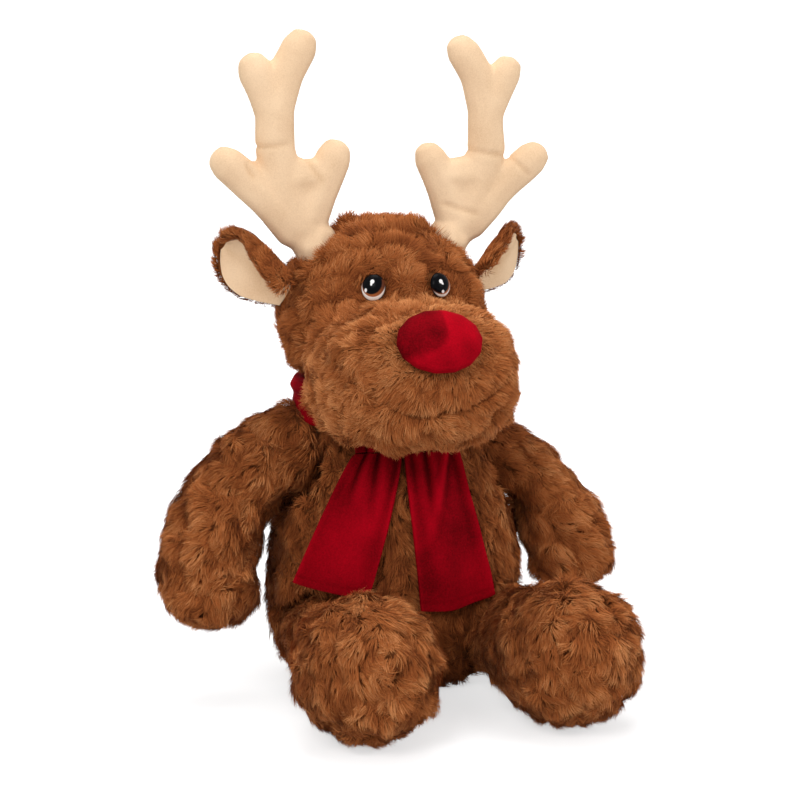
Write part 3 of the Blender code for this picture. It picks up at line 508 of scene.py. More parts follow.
def pile_tree(strand, material):
    """Scatters strands, lays each along the comb and a swirl, and draws neighbours into locks."""
    tree = bpy.data.node_groups.new("pile", "GeometryNodeTree")
    tree.interface.new_socket("Geometry", in_out="INPUT", socket_type="NodeSocketGeometry")
    for name, value in PILE_INPUTS.items():
        tree.interface.new_socket(name, in_out="INPUT", socket_type="NodeSocketFloat").default_value = value
    for name in ("Part", "Seed"):
        tree.interface.new_socket(name, in_out="INPUT", socket_type="NodeSocketInt")
    tree.interface.new_socket("Geometry", in_out="OUTPUT", socket_type="NodeSocketGeometry")
    maker = NodeMaker(tree)
    given = maker.add("NodeGroupInput").outputs
    place = maker.add("GeometryNodeInputPosition").outputs[0]

    def named(name, kind="FLOAT"):
        node = maker.add("GeometryNodeInputNamedAttribute", {"Name": name}, data_type=kind)
        return node.outputs["Attribute"]

    def named_vector(name):
        return named(name, "FLOAT_VECTOR")

    def keep(geometry, name, value, kind="FLOAT", domain="POINT"):
        values = {"Geometry": geometry, "Name": name, "Value": value}
        node = maker.add("GeometryNodeStoreNamedAttribute", values, data_type=kind, domain=domain)
        return node.outputs["Geometry"]

    def noise(size, detail=0.0):
        return maker.noise(place, maker.number("DIVIDE", 1.0, size), detail)["Color"]

    def centred(colour):
        return maker.scaled(maker.vector("SUBTRACT", colour, (0.5, 0.5, 0.5)), 2.0)

    def half_off(value):
        return maker.number("SUBTRACT", value, 0.5)

    def cells(size):
        """Ragged-edged cells: the way to a cell's middle, and its own colour."""
        bent = maker.total(place, (centred(noise(maker.product(size, 0.7))), maker.product(size, 0.45)))
        cell = maker.add("ShaderNodeTexVoronoi", {"Vector": bent, "Scale": maker.number("DIVIDE", 1.0, size)})
        way = maker.without(maker.vector("SUBTRACT", cell.outputs["Position"], bent), normal)
        return way, cell.outputs["Color"]

    same_part = {2: named("part", "INT"), 3: given["Part"]}
    chosen = maker.add("FunctionNodeCompare", same_part, data_type="INT", operation="EQUAL")
    scatter = maker.add("GeometryNodeDistributePointsOnFaces", {
        "Mesh": given["Geometry"], "Selection": chosen.outputs[0], "Seed": given["Seed"],
        "Density": maker.product(given["Density"], named("cover")),
    })
    normal = maker.vector("NORMALIZE", named_vector("outward"))
    chance = {"Min": (-1, -1, -1), "Max": (1, 1, 1), "Seed": given["Seed"]}
    own = maker.add("FunctionNodeRandomValue", chance, data_type="FLOAT_VECTOR").outputs[0]
    own_x, own_y, own_z = maker.parts(own)
    lock_way, lock_colour = cells(given["Lock Size"])
    small_way, small_colour = cells(maker.product(given["Lock Size"], SMALL_LOCK))
    lock_x, lock_y, lock_z = maker.parts(lock_colour)
    swirl = maker.scaled(centred(noise(given["Swirl Size"], 1.0)), maker.product(given["Swirl"], 3.0))
    flow = maker.vector("ADD", named_vector("comb"), swirl)
    flow = maker.total(flow, (centred(lock_colour), 0.45), (own, given["Ragged"]))
    flow = maker.vector("NORMALIZE", maker.without(flow, normal))

    lie = maker.summed(given["Lie"], (half_off(lock_z), 0.3), (own_z, 0.08))
    rise = maker.summed(1.0, (lie, -0.75))
    by_lock = maker.spread(lock_x, 0.0, 1.0, 0.78, 1.08)
    by_chance = maker.spread(own_x, -1.0, 1.0, 0.68, 1.12)
    length = maker.product(given["Length"], named("pile"), by_lock, by_chance)
    pull = maker.total(lock_way, (small_way, 0.8))
    pull = maker.total(pull, (flow, maker.product(maker.vector("DOT_PRODUCT", pull, flow), -0.8)))
    pull = maker.scaled(pull, given["Lock Share"])
    tip = maker.total(maker.scaled(flow, lie), (normal, rise))
    tip = maker.vector("ADD", maker.scaled(maker.vector("NORMALIZE", tip), length), pull)
    middle = maker.scaled(flow, maker.product(lie, 0.6))
    middle = maker.total(middle, (normal, maker.number("ADD", rise, 0.35)))
    middle = maker.scaled(maker.vector("NORMALIZE", middle), maker.product(length, 0.45))
    middle = maker.total(middle, (pull, 0.35))
    across = maker.vector("NORMALIZE", maker.vector("CROSS_PRODUCT", tip, normal))
    across = maker.vector("NORMALIZE", maker.total(across, (own, 0.5)))
    across = maker.scaled(across, maker.product(given["Width"], 0.5))

    fine = maker.parts(noise(PATCH_SIZE, 2.0))[0]
    shade = maker.summed(named("tone"), (half_off(lock_y), LOCK_TONE),
                         (half_off(maker.parts(small_colour)[1]), SMALL_LOCK_TONE),
                         (half_off(fine), PATCH_TONE), (own_y, STRAND_TONE))
    row = maker.number("FLOOR", maker.product(maker.spread(shade, 0.0, 1.0), float(SHADES)))
    row = maker.number("MINIMUM", row, SHADES - 1.0)
    shade = maker.number("DIVIDE", maker.number("ADD", row, 0.5), float(SHADES))

    points = keep(scatter.outputs["Points"], "shade", shade)
    offset = (0, 0, 0)
    for mark, way in zip(STRAND_MARKS, (middle, tip, across)):
        points = keep(points, f"{mark}_step", way, "FLOAT_VECTOR")
        offset = maker.total(offset, (named_vector(f"{mark}_step"), named(mark)))
    source = maker.add("GeometryNodeObjectInfo", {"Object": strand}).outputs["Geometry"]
    grown = maker.add("GeometryNodeInstanceOnPoints", {"Points": points, "Instance": source})
    real = maker.add("GeometryNodeRealizeInstances", {"Geometry": grown.outputs[0]})
    moved = maker.add("GeometryNodeSetPosition", {"Geometry": real.outputs[0], "Offset": offset})
    x, y, z = maker.parts(place)
    above = maker.add("ShaderNodeCombineXYZ", {0: x, 1: y, 2: maker.number("MAXIMUM", z, FLOOR_CLEARANCE)})
    moved = maker.add("GeometryNodeSetPosition", {"Geometry": moved.outputs[0], "Position": above.outputs[0]})
    cell_x, cell_y, _ = maker.parts(named_vector("cell"))
    column = maker.number("SUBTRACT", named("shade"), 0.5 / SHADES)
    column = maker.number("ADD", column, maker.number("DIVIDE", cell_x, float(SHADES)))
    mapped = maker.add("ShaderNodeCombineXYZ", {0: column, 1: cell_y})
    final = keep(moved.outputs[0], "OFBake", mapped.outputs[0], "FLOAT2", "CORNER")
    for name in ("cell", *STRAND_MARKS, *(f"{mark}_step" for mark in STRAND_MARKS)):
        final = maker.add("GeometryNodeRemoveAttribute", {"Geometry": final, "Name": name}).outputs[0]
    finished = maker.add("GeometryNodeSetMaterial", {"Geometry": final, "Material": material})
    maker.add("NodeGroupOutput", {0: finished.outputs[0]})
    return tree


def grow_pile(tree, name, skin, fields, body, seed, sizes):
    """Grows strands on the skin in as many pieces as keep each one light."""
    mesh = skin.copy()
    store(mesh, "outward", normals_of(skin), "FLOAT_VECTOR")
    store(mesh, "comb", fields["comb"], "FLOAT_VECTOR")
    for field in ("cover", "pile", "tone"):
        store(mesh, field, fields[field])
    numbers = {**PILE_INPUTS, **sizes, "Seed": seed}
    face_cover = fields["cover"][[polygon.vertices[0] for polygon in mesh.polygons]]
    strands = read(mesh.polygons, "area", 1)[:, 0] * face_cover * numbers["Density"]
    pieces = max(1, math.ceil(strands.sum() / STRANDS_PER_PIECE))
    order = np.argsort(read(mesh.polygons, "center")[:, 2], kind="stable")
    running = np.cumsum(strands[order]) / strands.sum()
    part = np.empty(len(order), np.int32)
    part[order] = np.minimum((running * pieces).astype(int), pieces - 1)
    mesh.attributes.new("part", "INT", "FACE").data.foreach_set("value", part)
    source = link(name + "_source", mesh)
    grown = source.modifiers.new("pile", "NODES")
    grown.node_group = tree
    sockets = {item.name: item.identifier for item in tree.interface.items_tree if item.in_out == "INPUT"}
    for key, value in numbers.items():
        grown[sockets[key]] = value
    for index in range(pieces):
        grown[sockets["Part"]] = index
        source.update_tag()
        bpy.context.view_layer.update()
        piece = link(f"{name}_{index + 1}" if pieces > 1 else name, evaluated(source))
        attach(piece, body)
    bpy.data.objects.remove(source, do_unlink=True)


def add_plush(tree, ground, body, nodes, skin, fields, seed, fill, **sizes):
    """The pile of one plush form and the backing under it, which stands for the CAD nodes."""
    grow_pile(tree, f"{body}_fur", skin, fields, body, seed, sizes)
    finish_piece(f"{body}_backing", skin, ground, body, nodes)


# Forms of the deer

def search_tree(mesh):
    build = bmesh.new()
    build.from_mesh(mesh)
    tree = BVHTree.FromBMesh(build)
    build.free()
    return tree


def near(places, centre):
    return np.linalg.norm(places - np.array(centre), axis=1)


def plush_skin(name, nodes, seed):
    """A backing drawn in under the pile, and how far each place of it stands out in a tuft."""
    mesh = soft_shell(name, nodes, PLUSH_VOXEL, PLUSH_SMOOTHING)
    places = points_of(mesh)
    tufts = waves(places, TUFT_SIZE, seed + 100)
    depth = PLUSH_INSET + LUMP_DEPTH * waves(places, LUMP_SIZE, seed) - TUFT_DEPTH * tufts
    places -= normals_of(mesh) * depth[:, None]
    places[:, 2] = np.maximum(places[:, 2], FLOOR_CLEARANCE)
    place_points(mesh, places)
    return mesh, tufts


CRINKLED = {"Length": 8.5 * MM, "Swirl": 0.95, "Swirl Size": 11 * MM, "Lock Share": 0.44, "Ragged": 0.30}


def thin_at_floor(places):
    """0.3 where the deer sits on its pile, and 1 above."""
    return step(places[:, 2], 1 * MM, 4 * MM) * 0.7 + 0.3


def inside_torso(places):
    """Below 1 inside the upright cylinder that holds the torso."""
    low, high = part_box("torso_cover")
    half = (np.array(high) - np.array(low))[:2] / 2
    return np.sum((places[:, :2] / half) ** 2, axis=1)


def under_tails(places):
    """1 where a scarf tail lies on the chest, 0 elsewhere."""
    share = np.zeros(len(places))
    for side, way in SIDES.items():
        root = tail_root(side)
        slant = TAIL_SLANTS[side]
        drop = root.z - places[:, 2]
        run = np.clip(drop / (TAIL_ENDS[side] * math.cos(slant)), 0, 1)
        middle = root.x + way * math.tan(slant) * drop
        half = TAIL_TOP_HALVES[side] + (TAIL_BOTTOM_HALVES[side] - TAIL_TOP_HALVES[side]) * run
        beside = 1 - step(np.abs(places[:, 0] - middle), half - 2 * MM, half + 2 * MM)
        share = np.maximum(share, beside * (run < 1))
    return share * (places[:, 1] < 0)


def add_torso(tree, ground):
    nodes = ("torso_cover", "torso_filling")
    skin, tufts = plush_skin("torso_backing", nodes, 3)
    places = points_of(skin)
    raised = SHOULDER_RISE * step(places[:, 2], BAND_BASE - 30 * MM, BAND_BASE - 6 * MM)
    raised *= step(np.abs(places[:, 0]), 20 * MM, 40 * MM) * (places[:, 2] < BAND_BASE + 4 * MM)
    places += normals_of(skin) * raised[:, None]
    place_points(skin, places)
    cover = 1 - step(places[:, 2], BAND_BASE + 3 * MM, BAND_BASE + 8 * MM)
    cover *= thin_at_floor(places)
    for side in SIDES:
        cover *= step(near(places, joint_place(f"arm_{side}_swing")), 21 * MM, 25 * MM)
        cover *= step(near(places, joint_place(f"leg_{side}_lift")), 29 * MM, 33 * MM)
    # Painted shade down the front middle of the chest, where the head shades it, and painted shade in the
    # tufts' dips with painted light on their crests
    middle = (1 - step(np.abs(places[:, 0] + 5 * MM), 20 * MM, 50 * MM)) * (places[:, 1] < 0)
    tone = 0.36 - 0.16 * middle + BROAD_TONE * waves(places, 40 * MM, 11) + TUFT_SHADE * tufts
    pile = 1 - 0.6 * under_tails(places)
    fields = {"comb": (0.0, 0.0, -1.3), "cover": cover, "pile": pile, "tone": tone}
    add_plush(tree, ground, "torso", nodes, skin, fields, 21, 0.8, **CRINKLED)


MUZZLE_MIDDLE_SHARE = 0.62
MUZZLE_DEPTH_SHARE = 0.66


def muzzle_share(places):
    """1 on the muzzle, 0 on the rest of the head."""
    low, high = (np.array(corner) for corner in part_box("muzzle_cover"))
    tall = high[2] - low[2]
    centre = (low + high) / 2
    centre[1] = low[1] + tall * MUZZLE_MIDDLE_SHARE
    half = np.array([(high[0] - low[0]) / 2, tall * MUZZLE_DEPTH_SHARE, tall / 2])
    reach = np.linalg.norm((places - centre) / half, axis=1)
    return 1 - step(reach, 0.9, 1.15)


HEAD_PILE = {"Length": 9.5 * MM, "Swirl": 0.8, "Lock Share": 0.26, "Density": 4.7e6}
EYE_ROUND = 9 * MM
MOUTH_DROP = 38 * MM
MOUTH_DEPTH = 3.2 * MM
MOUTH_WIDTH = 44 * MM
MOUTH_RISE = 22 * MM
MOUTH_THICKNESS = 2.6 * MM
# Painted shade in the smile's crease
MOUTH_CREASE_SHADE = 0.45


def mouth_share(places):
    """1 in the crease of the smile, below the nose."""
    x = places[:, 0] - NOSE.x
    line = NOSE.z - MOUTH_DROP + MOUTH_RISE * (x / MOUTH_WIDTH) ** 2
    line += 1.5 * MM * waves(places, 12 * MM, 8)
    share = np.exp(-((places[:, 2] - line) / MOUTH_THICKNESS) ** 2)
    front = step(NOSE.y + 34 * MM - places[:, 1], 0, 12 * MM)
    return share * front * (1 - step(np.abs(x), MOUTH_WIDTH * 0.8, MOUTH_WIDTH))


def add_head(tree, ground):
    nodes = ("head_cover", "head_filling", "muzzle_cover", "muzzle_filling")
    skin, tufts = plush_skin("head_backing", nodes, 5)
    places = points_of(skin)
    muzzle = muzzle_share(places)
    mouth = mouth_share(places)
    places -= normals_of(skin) * (MOUTH_DEPTH * mouth)[:, None]
    place_points(skin, places)
    comb = unit(places - np.array(NOSE)) * (0.9 + 0.5 * muzzle)[:, None]
    painted_eye_shade = np.zeros(len(places))
    pile = 0.95 - 0.18 * muzzle
    to_nose = (places - np.array(NOSE)) / np.array([26 * MM, 26 * MM, 19 * MM])
    nose_reach = np.linalg.norm(to_nose, axis=1)
    cover = step(nose_reach, 0.78, 0.92)
    pile *= 0.55 + 0.45 * step(nose_reach, 0.9, 1.5)
    for side in SIDES:
        away = places - np.array(EYES[side])
        reach = np.linalg.norm(away, axis=1)
        away = unit(away)
        close = 1 - step(reach, 8 * MM, 15 * MM)
        parted = np.minimum((EYE_ROUND / np.maximum(reach, 1 * MM)) ** 2, 1.0)
        inward = np.sum(comb * away, axis=1)
        comb += (comb - 2 * away * inward[:, None]) * parted[:, None] + away * (0.35 * close)[:, None]
        cover *= step(reach, 7.0 * MM, 8.0 * MM)
        pile *= 1 - 0.5 * close
        painted_eye_shade += 1 - step(reach, 9 * MM, 22 * MM)
        cover *= step(near(places, joint_place(f"antler_{side}_bend")), 12 * MM, 15 * MM)
        cover *= step(near(places, joint_place(f"ear_{side}_flop")), 6 * MM, 9 * MM)
    low_rim = NECK_TOP - 8 * MM
    from_neck = np.linalg.norm(places[:, :2], axis=1)
    under = (1 - step(places[:, 2], low_rim, low_rim + 10 * MM)) * (1 - step(from_neck, 50 * MM, 60 * MM))
    cover *= 1 - under
    pile *= 1 - 0.45 * mouth
    # Painted shade round the eyes and in the smile's crease, and painted shade in the tufts' dips with painted
    # light on their crests
    tone = 0.46 + 0.17 * muzzle - 0.20 * painted_eye_shade * (1 - muzzle) - MOUTH_CREASE_SHADE * mouth
    tone += BROAD_TONE * waves(places, 35 * MM, 12) + 0.7 * TUFT_SHADE * tufts
    fields = {"comb": comb, "cover": cover, "pile": pile, "tone": tone}
    add_plush(tree, ground, "head", nodes, skin, fields, 22, 0.85, **HEAD_PILE)


ARM_RISES = {"right": 11 * MM, "left": 3 * MM}
ARM_FULLNESS = {"right": 1.6 * MM, "left": 0.5 * MM}
ARM_INNER_SHARE = 2.5
SHOULDER_RISE = 1.5 * MM


def add_arm(tree, ground, side):
    nodes = (f"arm_{side}_cover", f"arm_{side}_filling")
    skin, tufts = plush_skin(f"arm_{side}_backing", nodes, 7 + SIDES[side])
    places = points_of(skin)
    shoulder = joint_place(f"arm_{side}_swing")
    ways = normals_of(skin)
    low, high = (Vector(corner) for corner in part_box(nodes[0]))
    hand = Vector((high.x if SIDES[side] > 0 else low.x, (low.y + high.y) / 2, low.z))
    along = unit(np.array(hand - shoulder))
    run = np.clip(((places - np.array(shoulder)) @ along) / (hand - shoulder).length, 0, 1)
    upward = step(ways[:, 2], 0.0, 0.8) * (1 - step(near(places, shoulder), 20 * MM, 75 * MM))
    upward *= step(np.abs(places[:, 0]), abs(shoulder.x) - 20 * MM, abs(shoulder.x) + 2 * MM)
    full = step(run, 0.15, 0.45) * (1 - step(run, 0.75, 1.0))
    inner = np.clip(-SIDES[side] * ways[:, 0], 0, 1)
    places += ways * (ARM_FULLNESS[side] * full * (1 + ARM_INNER_SHARE * inner))[:, None]
    places[:, 2] += ARM_RISES[side] * upward
    place_points(skin, places)
    cover = step(np.abs(places[:, 0]), abs(shoulder.x) - 12 * MM, abs(shoulder.x) - 6 * MM)
    cover = np.maximum(cover, step(near(places, shoulder), 20 * MM, 24 * MM))
    # Painted shade in the tufts' dips and painted light on their crests
    tone = 0.34 + 0.20 * run + BROAD_TONE * waves(places, 30 * MM, 13) + TUFT_SHADE * tufts
    fields = {"comb": along * 1.3, "cover": cover, "pile": 1.0, "tone": tone}
    add_plush(tree, ground, f"arm_{side}", nodes, skin, fields, 24 + SIDES[side], 0.7, **CRINKLED)


FOOT_COMB = (0.0, -0.5, -1.0)
FOOT_SPREAD = 60 * MM


def add_leg(tree, ground, side):
    nodes = (f"leg_{side}_cover", f"leg_{side}_filling", f"leg_{side}_sole")
    skin, tufts = plush_skin(f"leg_{side}_backing", nodes, 15 + SIDES[side])
    places = points_of(skin)
    sole = centre_of(nodes[2])
    cover = step(inside_torso(places), 0.62, 0.85)
    cover *= thin_at_floor(places)
    comb = np.tile(FOOT_COMB, (len(places), 1))
    comb[:, 0] += (places[:, 0] - sole.x) / FOOT_SPREAD
    run = 1 - np.clip((places[:, 1] - sole.y) / (90 * MM), 0, 1)
    # Painted shade in the tufts' dips and painted light on their crests
    tone = 0.36 + 0.14 * run + BROAD_TONE * waves(places, 30 * MM, 14) + TUFT_SHADE * tufts
    fields = {"comb": comb, "cover": cover, "pile": 1.0, "tone": tone}
    add_plush(tree, ground, f"leg_{side}", nodes, skin, fields, 28 + SIDES[side], 0.8, **CRINKLED)


EAR_ROWS = 44
EAR_COLUMNS = 33
EAR_ROOT = -9.0 * MM
EAR_REACH = 47 * MM
EAR_WIDE = 36 * MM
EAR_DROPS = {"right": 2.5 * MM, "left": -2.5 * MM}
EAR_TIP_DROPS = {"right": 0.0, "left": 7 * MM}
EAR_CUP = 12.5 * MM
EAR_RUNS = (0.0, 0.2, 0.45, 0.65, 0.80, 0.90, 0.96, 1.0)
EAR_WIDTHS = (0.80, 0.92, 1.0, 0.98, 0.86, 0.62, 0.42, 0.20)
EAR_CUPS = (0.9, 1.0, 1.0, 0.9, 0.7, 0.5, 0.4, 0.3)
EAR_CURLS = (118, 118, 112, 98, 86, 78, 72, 70)
EAR_LOW_CURLS = (20, 36, 52, 56, 56, 56, 56, 56)
EAR_CURL_SHARES = {"right": 1.0, "left": 0.64}
EAR_WIDTH_SHARE = 0.56
EAR_VALLEY_SHARE = 0.42
EAR_BACK_PLACE = -1.3 * MM
EAR_BACK_CLOTH = 2.0 * MM
LINING_PLACE = 0.5 * MM
LINING_CLOTH = 0.9 * MM
LINING_SHARE = 0.88
EAR_PILE = {"Length": 6.5 * MM, "Swirl": 0.4, "Lie": 0.93, "Lock Share": 0.2, "Density": 5.0e6}


def ear_leaf(side, place, size):
    """A cupped leaf over the CAD ear; its rows run from the root to the tip."""
    joint = JOINTS[f"ear_{side}_flop"]
    root, up = np.array(joint["pos_m"]), unit(np.array(joint["axis"]))
    places = points_of(merged((f"ear_{side}_back",)))
    reach = near(places, root)
    along = places[reach > reach.max() - 2 * MM].mean(axis=0) - root
    along = unit(along - up * (along @ up))
    front = np.cross(along, up) * SIDES[side]
    runs = np.linspace(0, 1, EAR_ROWS)
    widths = np.interp(runs, EAR_RUNS, EAR_WIDTHS) * EAR_WIDE * EAR_WIDTH_SHARE
    cups = np.interp(runs, EAR_RUNS, EAR_CUPS) * EAR_CUP
    curls = np.interp(runs, EAR_RUNS, EAR_CURLS) * (EAR_CURL_SHARES[side] * DEGREE * size)
    low_curls = np.interp(runs, EAR_RUNS, EAR_LOW_CURLS) * DEGREE
    for values in (widths, cups, curls, low_curls):
        for _ in range(6):
            values[1:-1] = (values[:-2] + 2 * values[1:-1] + values[2:]) / 4
    share = np.linspace(0, 1, EAR_COLUMNS)
    turns = np.outer(curls, share) - np.outer(low_curls, 1 - share)
    wide, deep = widths[:, None], cups[:, None]
    drop = EAR_DROPS[side] + EAR_TIP_DROPS[side] * runs[:, None]
    high = np.stack((wide * np.sin(turns) - drop, deep * (1 - np.cos(turns))), axis=2)
    inward = unit(np.stack((-deep * np.sin(turns), wide * np.cos(turns)), axis=2))
    high += inward * place
    grid = root + along * (EAR_ROOT + EAR_REACH * (1 - (1 - size) / 2) * runs)[:, None, None]
    return grid + high[:, :, :1] * up + high[:, :, 1:] * front, along


def add_ear(tree, ground, cream, side):
    """A furred back and a smooth velour lining, both cupped forwards."""
    body = f"ear_{side}"
    back_grid, along = ear_leaf(side, EAR_BACK_PLACE, 1.0)
    lining_grid, _ = ear_leaf(side, LINING_PLACE, LINING_SHARE)
    skin = thick_cloth(f"{body}_backing", back_grid, EAR_BACK_CLOTH)
    velour = thick_cloth(f"{body}_velour", lining_grid, LINING_CLOTH)
    places = points_of(skin)
    middle = lining_grid.mean(axis=(0, 1))
    lining = search_tree(velour)
    from_lining = np.array([lining.find_nearest(Vector(place))[3] for place in places])
    cover = step(from_lining, 0.9 * MM, 1.8 * MM)
    comb = along * 1.1 + unit(places - middle) * 0.45
    tone = 0.44 + 0.10 * waves(places, 20 * MM, 15)
    fields = {"comb": comb, "cover": cover, "pile": 0.9, "tone": tone}
    add_plush(tree, ground, body, (f"{body}_back",), skin, fields, 31 + SIDES[side], 0.3, **EAR_PILE)
    places = points_of(velour)
    root = np.array(joint_place(f"ear_{side}_flop"))
    across = np.linspace(0, 1, EAR_COLUMNS)
    # Painted shade on the lining: darker near the root, where the ear cups in towards the head, and along the
    # valley of its fold
    painted_valley_shade = np.tile(np.exp(-((across - EAR_VALLEY_SHARE) / 0.12) ** 2), (EAR_ROWS, 1))
    nap_and_painted_light = 0.60 + 0.35 * step(near(places, root), 8 * MM, 26 * MM) + 0.06 * waves(places, 12 * MM, 16)
    nap_and_painted_light -= 0.28 * taken_from_grid(places, lining_grid, painted_valley_shade)
    finish_piece(f"{body}_velour", velour, cream, body, (f"{body}_lining",), nap_and_painted_light)


ANTLER_SEAM = 0.9 * MM
ANTLER_CREASE = 1.1 * MM
CREASE_WIDTH = 1.3 * MM

# Both ends of each crease, in shares of the prongs' spread outwards and of the height above the root
CREASE_SHARES = {
    "right": (((0.70, 0.50), (1.65, 0.48)), ((0.34, 0.44), (-0.10, 0.30)), ((1.75, 0.42), (1.55, 0.33))),
    "left": (((0.40, 0.45), (1.45, 0.41)), ((1.50, 0.41), (2.00, 0.31)), ((-0.30, 0.20), (0.75, 0.13))),
}
ANTLER_RISES = {"right": 1.035, "left": 1.0}
ANTLER_SWELLS = {"right": 0.8 * MM, "left": 0.2 * MM}


def add_antler(cream, side):
    """A stuffed velour fork with a seam round its edge and creases where the prongs meet."""
    body = f"antler_{side}"
    nodes = (f"{body}_cover", f"{body}_filling")
    mesh = soft_shell(f"{body}_velour", nodes, VELOUR_VOXEL, VELOUR_SMOOTHING)
    places = points_of(mesh)
    ways = normals_of(mesh)
    low, high = (Vector(corner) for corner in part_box(nodes[0]))
    root = joint_place(f"{body}_bend")
    stretch = np.where(places[:, 2] > root.z, ANTLER_RISES[side], 1)
    places[:, 2] = root.z + (places[:, 2] - root.z) * stretch
    depth = ANTLER_SEAM * np.exp(-((places[:, 1] - root.y) / (1.3 * MM)) ** 2)
    spread, rise = (high.x - low.x) * 0.3, high.z - root.z
    flat = places[:, [0, 2]]
    crease = np.zeros(len(places))
    for ends in CREASE_SHARES[side]:
        a, b = (np.array([root.x + SIDES[side] * spread * x, root.z + rise * z]) for x, z in ends)
        share = np.clip(((flat - a) @ (b - a)) / ((b - a) @ (b - a)), 0, 1)
        off = np.linalg.norm(flat - (a + share[:, None] * (b - a)), axis=1)
        crease += (1 - np.abs(2 * share - 1) ** 3) * np.exp(-(off / CREASE_WIDTH) ** 2)
    depth += ANTLER_CREASE * crease + 0.5 * MM * waves(places, 16 * MM, 41 + SIDES[side])
    depth -= ANTLER_SWELLS[side]
    place_points(mesh, places - ways * depth[:, None])
    # Painted shade in the creases where the prongs meet
    nap_and_painted_light = 0.80 - 0.30 * np.minimum(crease, 1.0) + 0.05 * waves(places, 15 * MM, 44)
    finish_piece(f"{body}_velour", mesh, cream, body, nodes, nap_and_painted_light)


NOSE_NAP_EDGE = 2 * MM
NOSE_STRETCH = (1.03, 1.0, 1.06)


def add_nose(red):
    """The nose pad; its nap lies dark on the upper side towards the deer's right, and a painted shade runs
    round its rim.
    """
    nodes = ("nose_cover", "nose_filling")
    mesh = soft_shell("nose_pad", nodes, THIN_VOXEL, 6)
    places = points_of(mesh)
    places = np.array(NOSE) + (places - np.array(NOSE)) * NOSE_STRETCH
    place_points(mesh, places)
    x = places[:, 0] - NOSE.x + 1.5 * MM * waves(places, 14 * MM, 51)
    z = places[:, 2] - NOSE.z + 1.5 * MM * waves(places, 11 * MM, 52)
    dark = step(z - 0.55 * x, 2 * MM - NOSE_NAP_EDGE, 4 * MM + NOSE_NAP_EDGE)
    dark *= 1 - step(x, 1 * MM, 1 * MM + NOSE_NAP_EDGE)
    # Painted shade round the pad's rim, where it meets the fur
    rim = step(np.hypot(x / (23 * MM), z / (17.5 * MM)), 0.75, 1.05)
    nap_and_painted_light = 0.72 - 0.45 * dark - 0.22 * rim + 0.08 * waves(places, 9 * MM, 53)
    finish_piece("nose_pad", mesh, red, "head", nodes, nap_and_painted_light)


EYE_RINGS = 14
EYE_SEGMENTS = 40
EYE_BULGE = 4.0 * MM
EYE_BACK = 1.0 * MM
EYE_RIM = 2.5 * MM
EYE_LEANS = {"right": 2 * DEGREE, "left": 45 * DEGREE}


def add_eye(material, side):
    """A smooth dome on the CAD eye's place, with a rounded rim and its own map."""
    node = f"eye_{side}"
    dome = points_of(frame["nodes"][node].data)
    centre = dome.mean(axis=0)
    _, _, axes = np.linalg.svd(dome - centre, full_matrices=False)
    normal = axes[0] if axes[0] @ (centre - np.array(centre_of("head_cover"))) > 0 else -axes[0]
    reach = (dome - centre) @ normal
    front = reach.max()
    rim = dome[reach < front - EYE_RIM]
    flat = rim - np.outer((rim - centre) @ normal, normal)
    level = unit(np.array((0.0, 0.0, 1.0)) - normal * normal[2])
    lean = EYE_LEANS[side]
    upright = level * math.cos(lean) - np.cross(level, normal) * (SIDES[side] * math.sin(lean))
    sideways = np.cross(upright, normal)
    wide = max(abs((flat - centre) @ sideways))
    tall = max(abs((flat - centre) @ upright))
    build = bmesh.new()
    layer = build.loops.layers.uv.new("dome")
    top = build.verts.new(centre + normal * front)
    rings = []
    for i in range(1, EYE_RINGS + 1):
        share = math.sin(math.pi / 2 * i / EYE_RINGS)
        height = front - EYE_BULGE * (1 - math.sqrt(max(1 - share * share, 0)))
        ring = []
        for k in range(EYE_SEGMENTS):
            angle = 2 * math.pi * k / EYE_SEGMENTS
            spot = sideways * wide * share * math.cos(angle) + upright * tall * share * math.sin(angle)
            ring.append(build.verts.new(centre + spot + normal * height))
        rings.append(ring)
    back = build.verts.new(centre + normal * (front - EYE_BULGE - EYE_BACK))
    for k in range(EYE_SEGMENTS):
        j = (k + 1) % EYE_SEGMENTS
        build.faces.new((top, rings[0][k], rings[0][j]))
        build.faces.new((rings[-1][j], rings[-1][k], back))
        for inner, outer in zip(rings, rings[1:]):
            build.faces.new((inner[k], outer[k], outer[j], inner[j]))
    bmesh.ops.recalc_face_normals(build, faces=build.faces[:])
    for face in build.faces:
        for loop in face.loops:
            spot = np.array(loop.vert.co) - centre
            loop[layer].uv = (0.5 + spot @ sideways / wide / 2, 0.5 + spot @ upright / tall / 2)
    mesh = bpy.data.meshes.new(node + "_dome")
    build.to_mesh(mesh)
    build.free()
    mesh.shade_smooth()
    finish_piece(node + "_dome", mesh, material, "head", (node,))


# Scarf

def grid_mesh(name, grid, wrap=False):
    """A mesh over rows of points; with wrap each row closes on itself and so do the rows."""
    rows, columns = grid.shape[:2]
    mesh = bpy.data.meshes.new(name)
    faces = []
    for i in range(rows if wrap else rows - 1):
        for k in range(columns if wrap else columns - 1):
            row, next_row = i * columns, (i + 1) % rows * columns
            j = (k + 1) % columns
            faces.append((row + k, row + j, next_row + j, next_row + k))
    mesh.from_pydata(grid.reshape(-1, 3).tolist(), [], faces)
    build = bmesh.new()
    build.from_mesh(mesh)
    bmesh.ops.recalc_face_normals(build, faces=build.faces[:])
    build.to_mesh(mesh)
    build.free()
    mesh.shade_smooth()
    return mesh


BAND_TURNS = 180
BAND_LIFT = 1 * MM
BAND_THICKNESS = 9.5 * MM
BAND_PROFILE = 56
BAND_FOLDS = 1.3
BAND_FOLD_DEPTH = 1.9 * MM
BAND_EASE = 1.0 * MM
BAND_SHIFT = -1.0 * MM


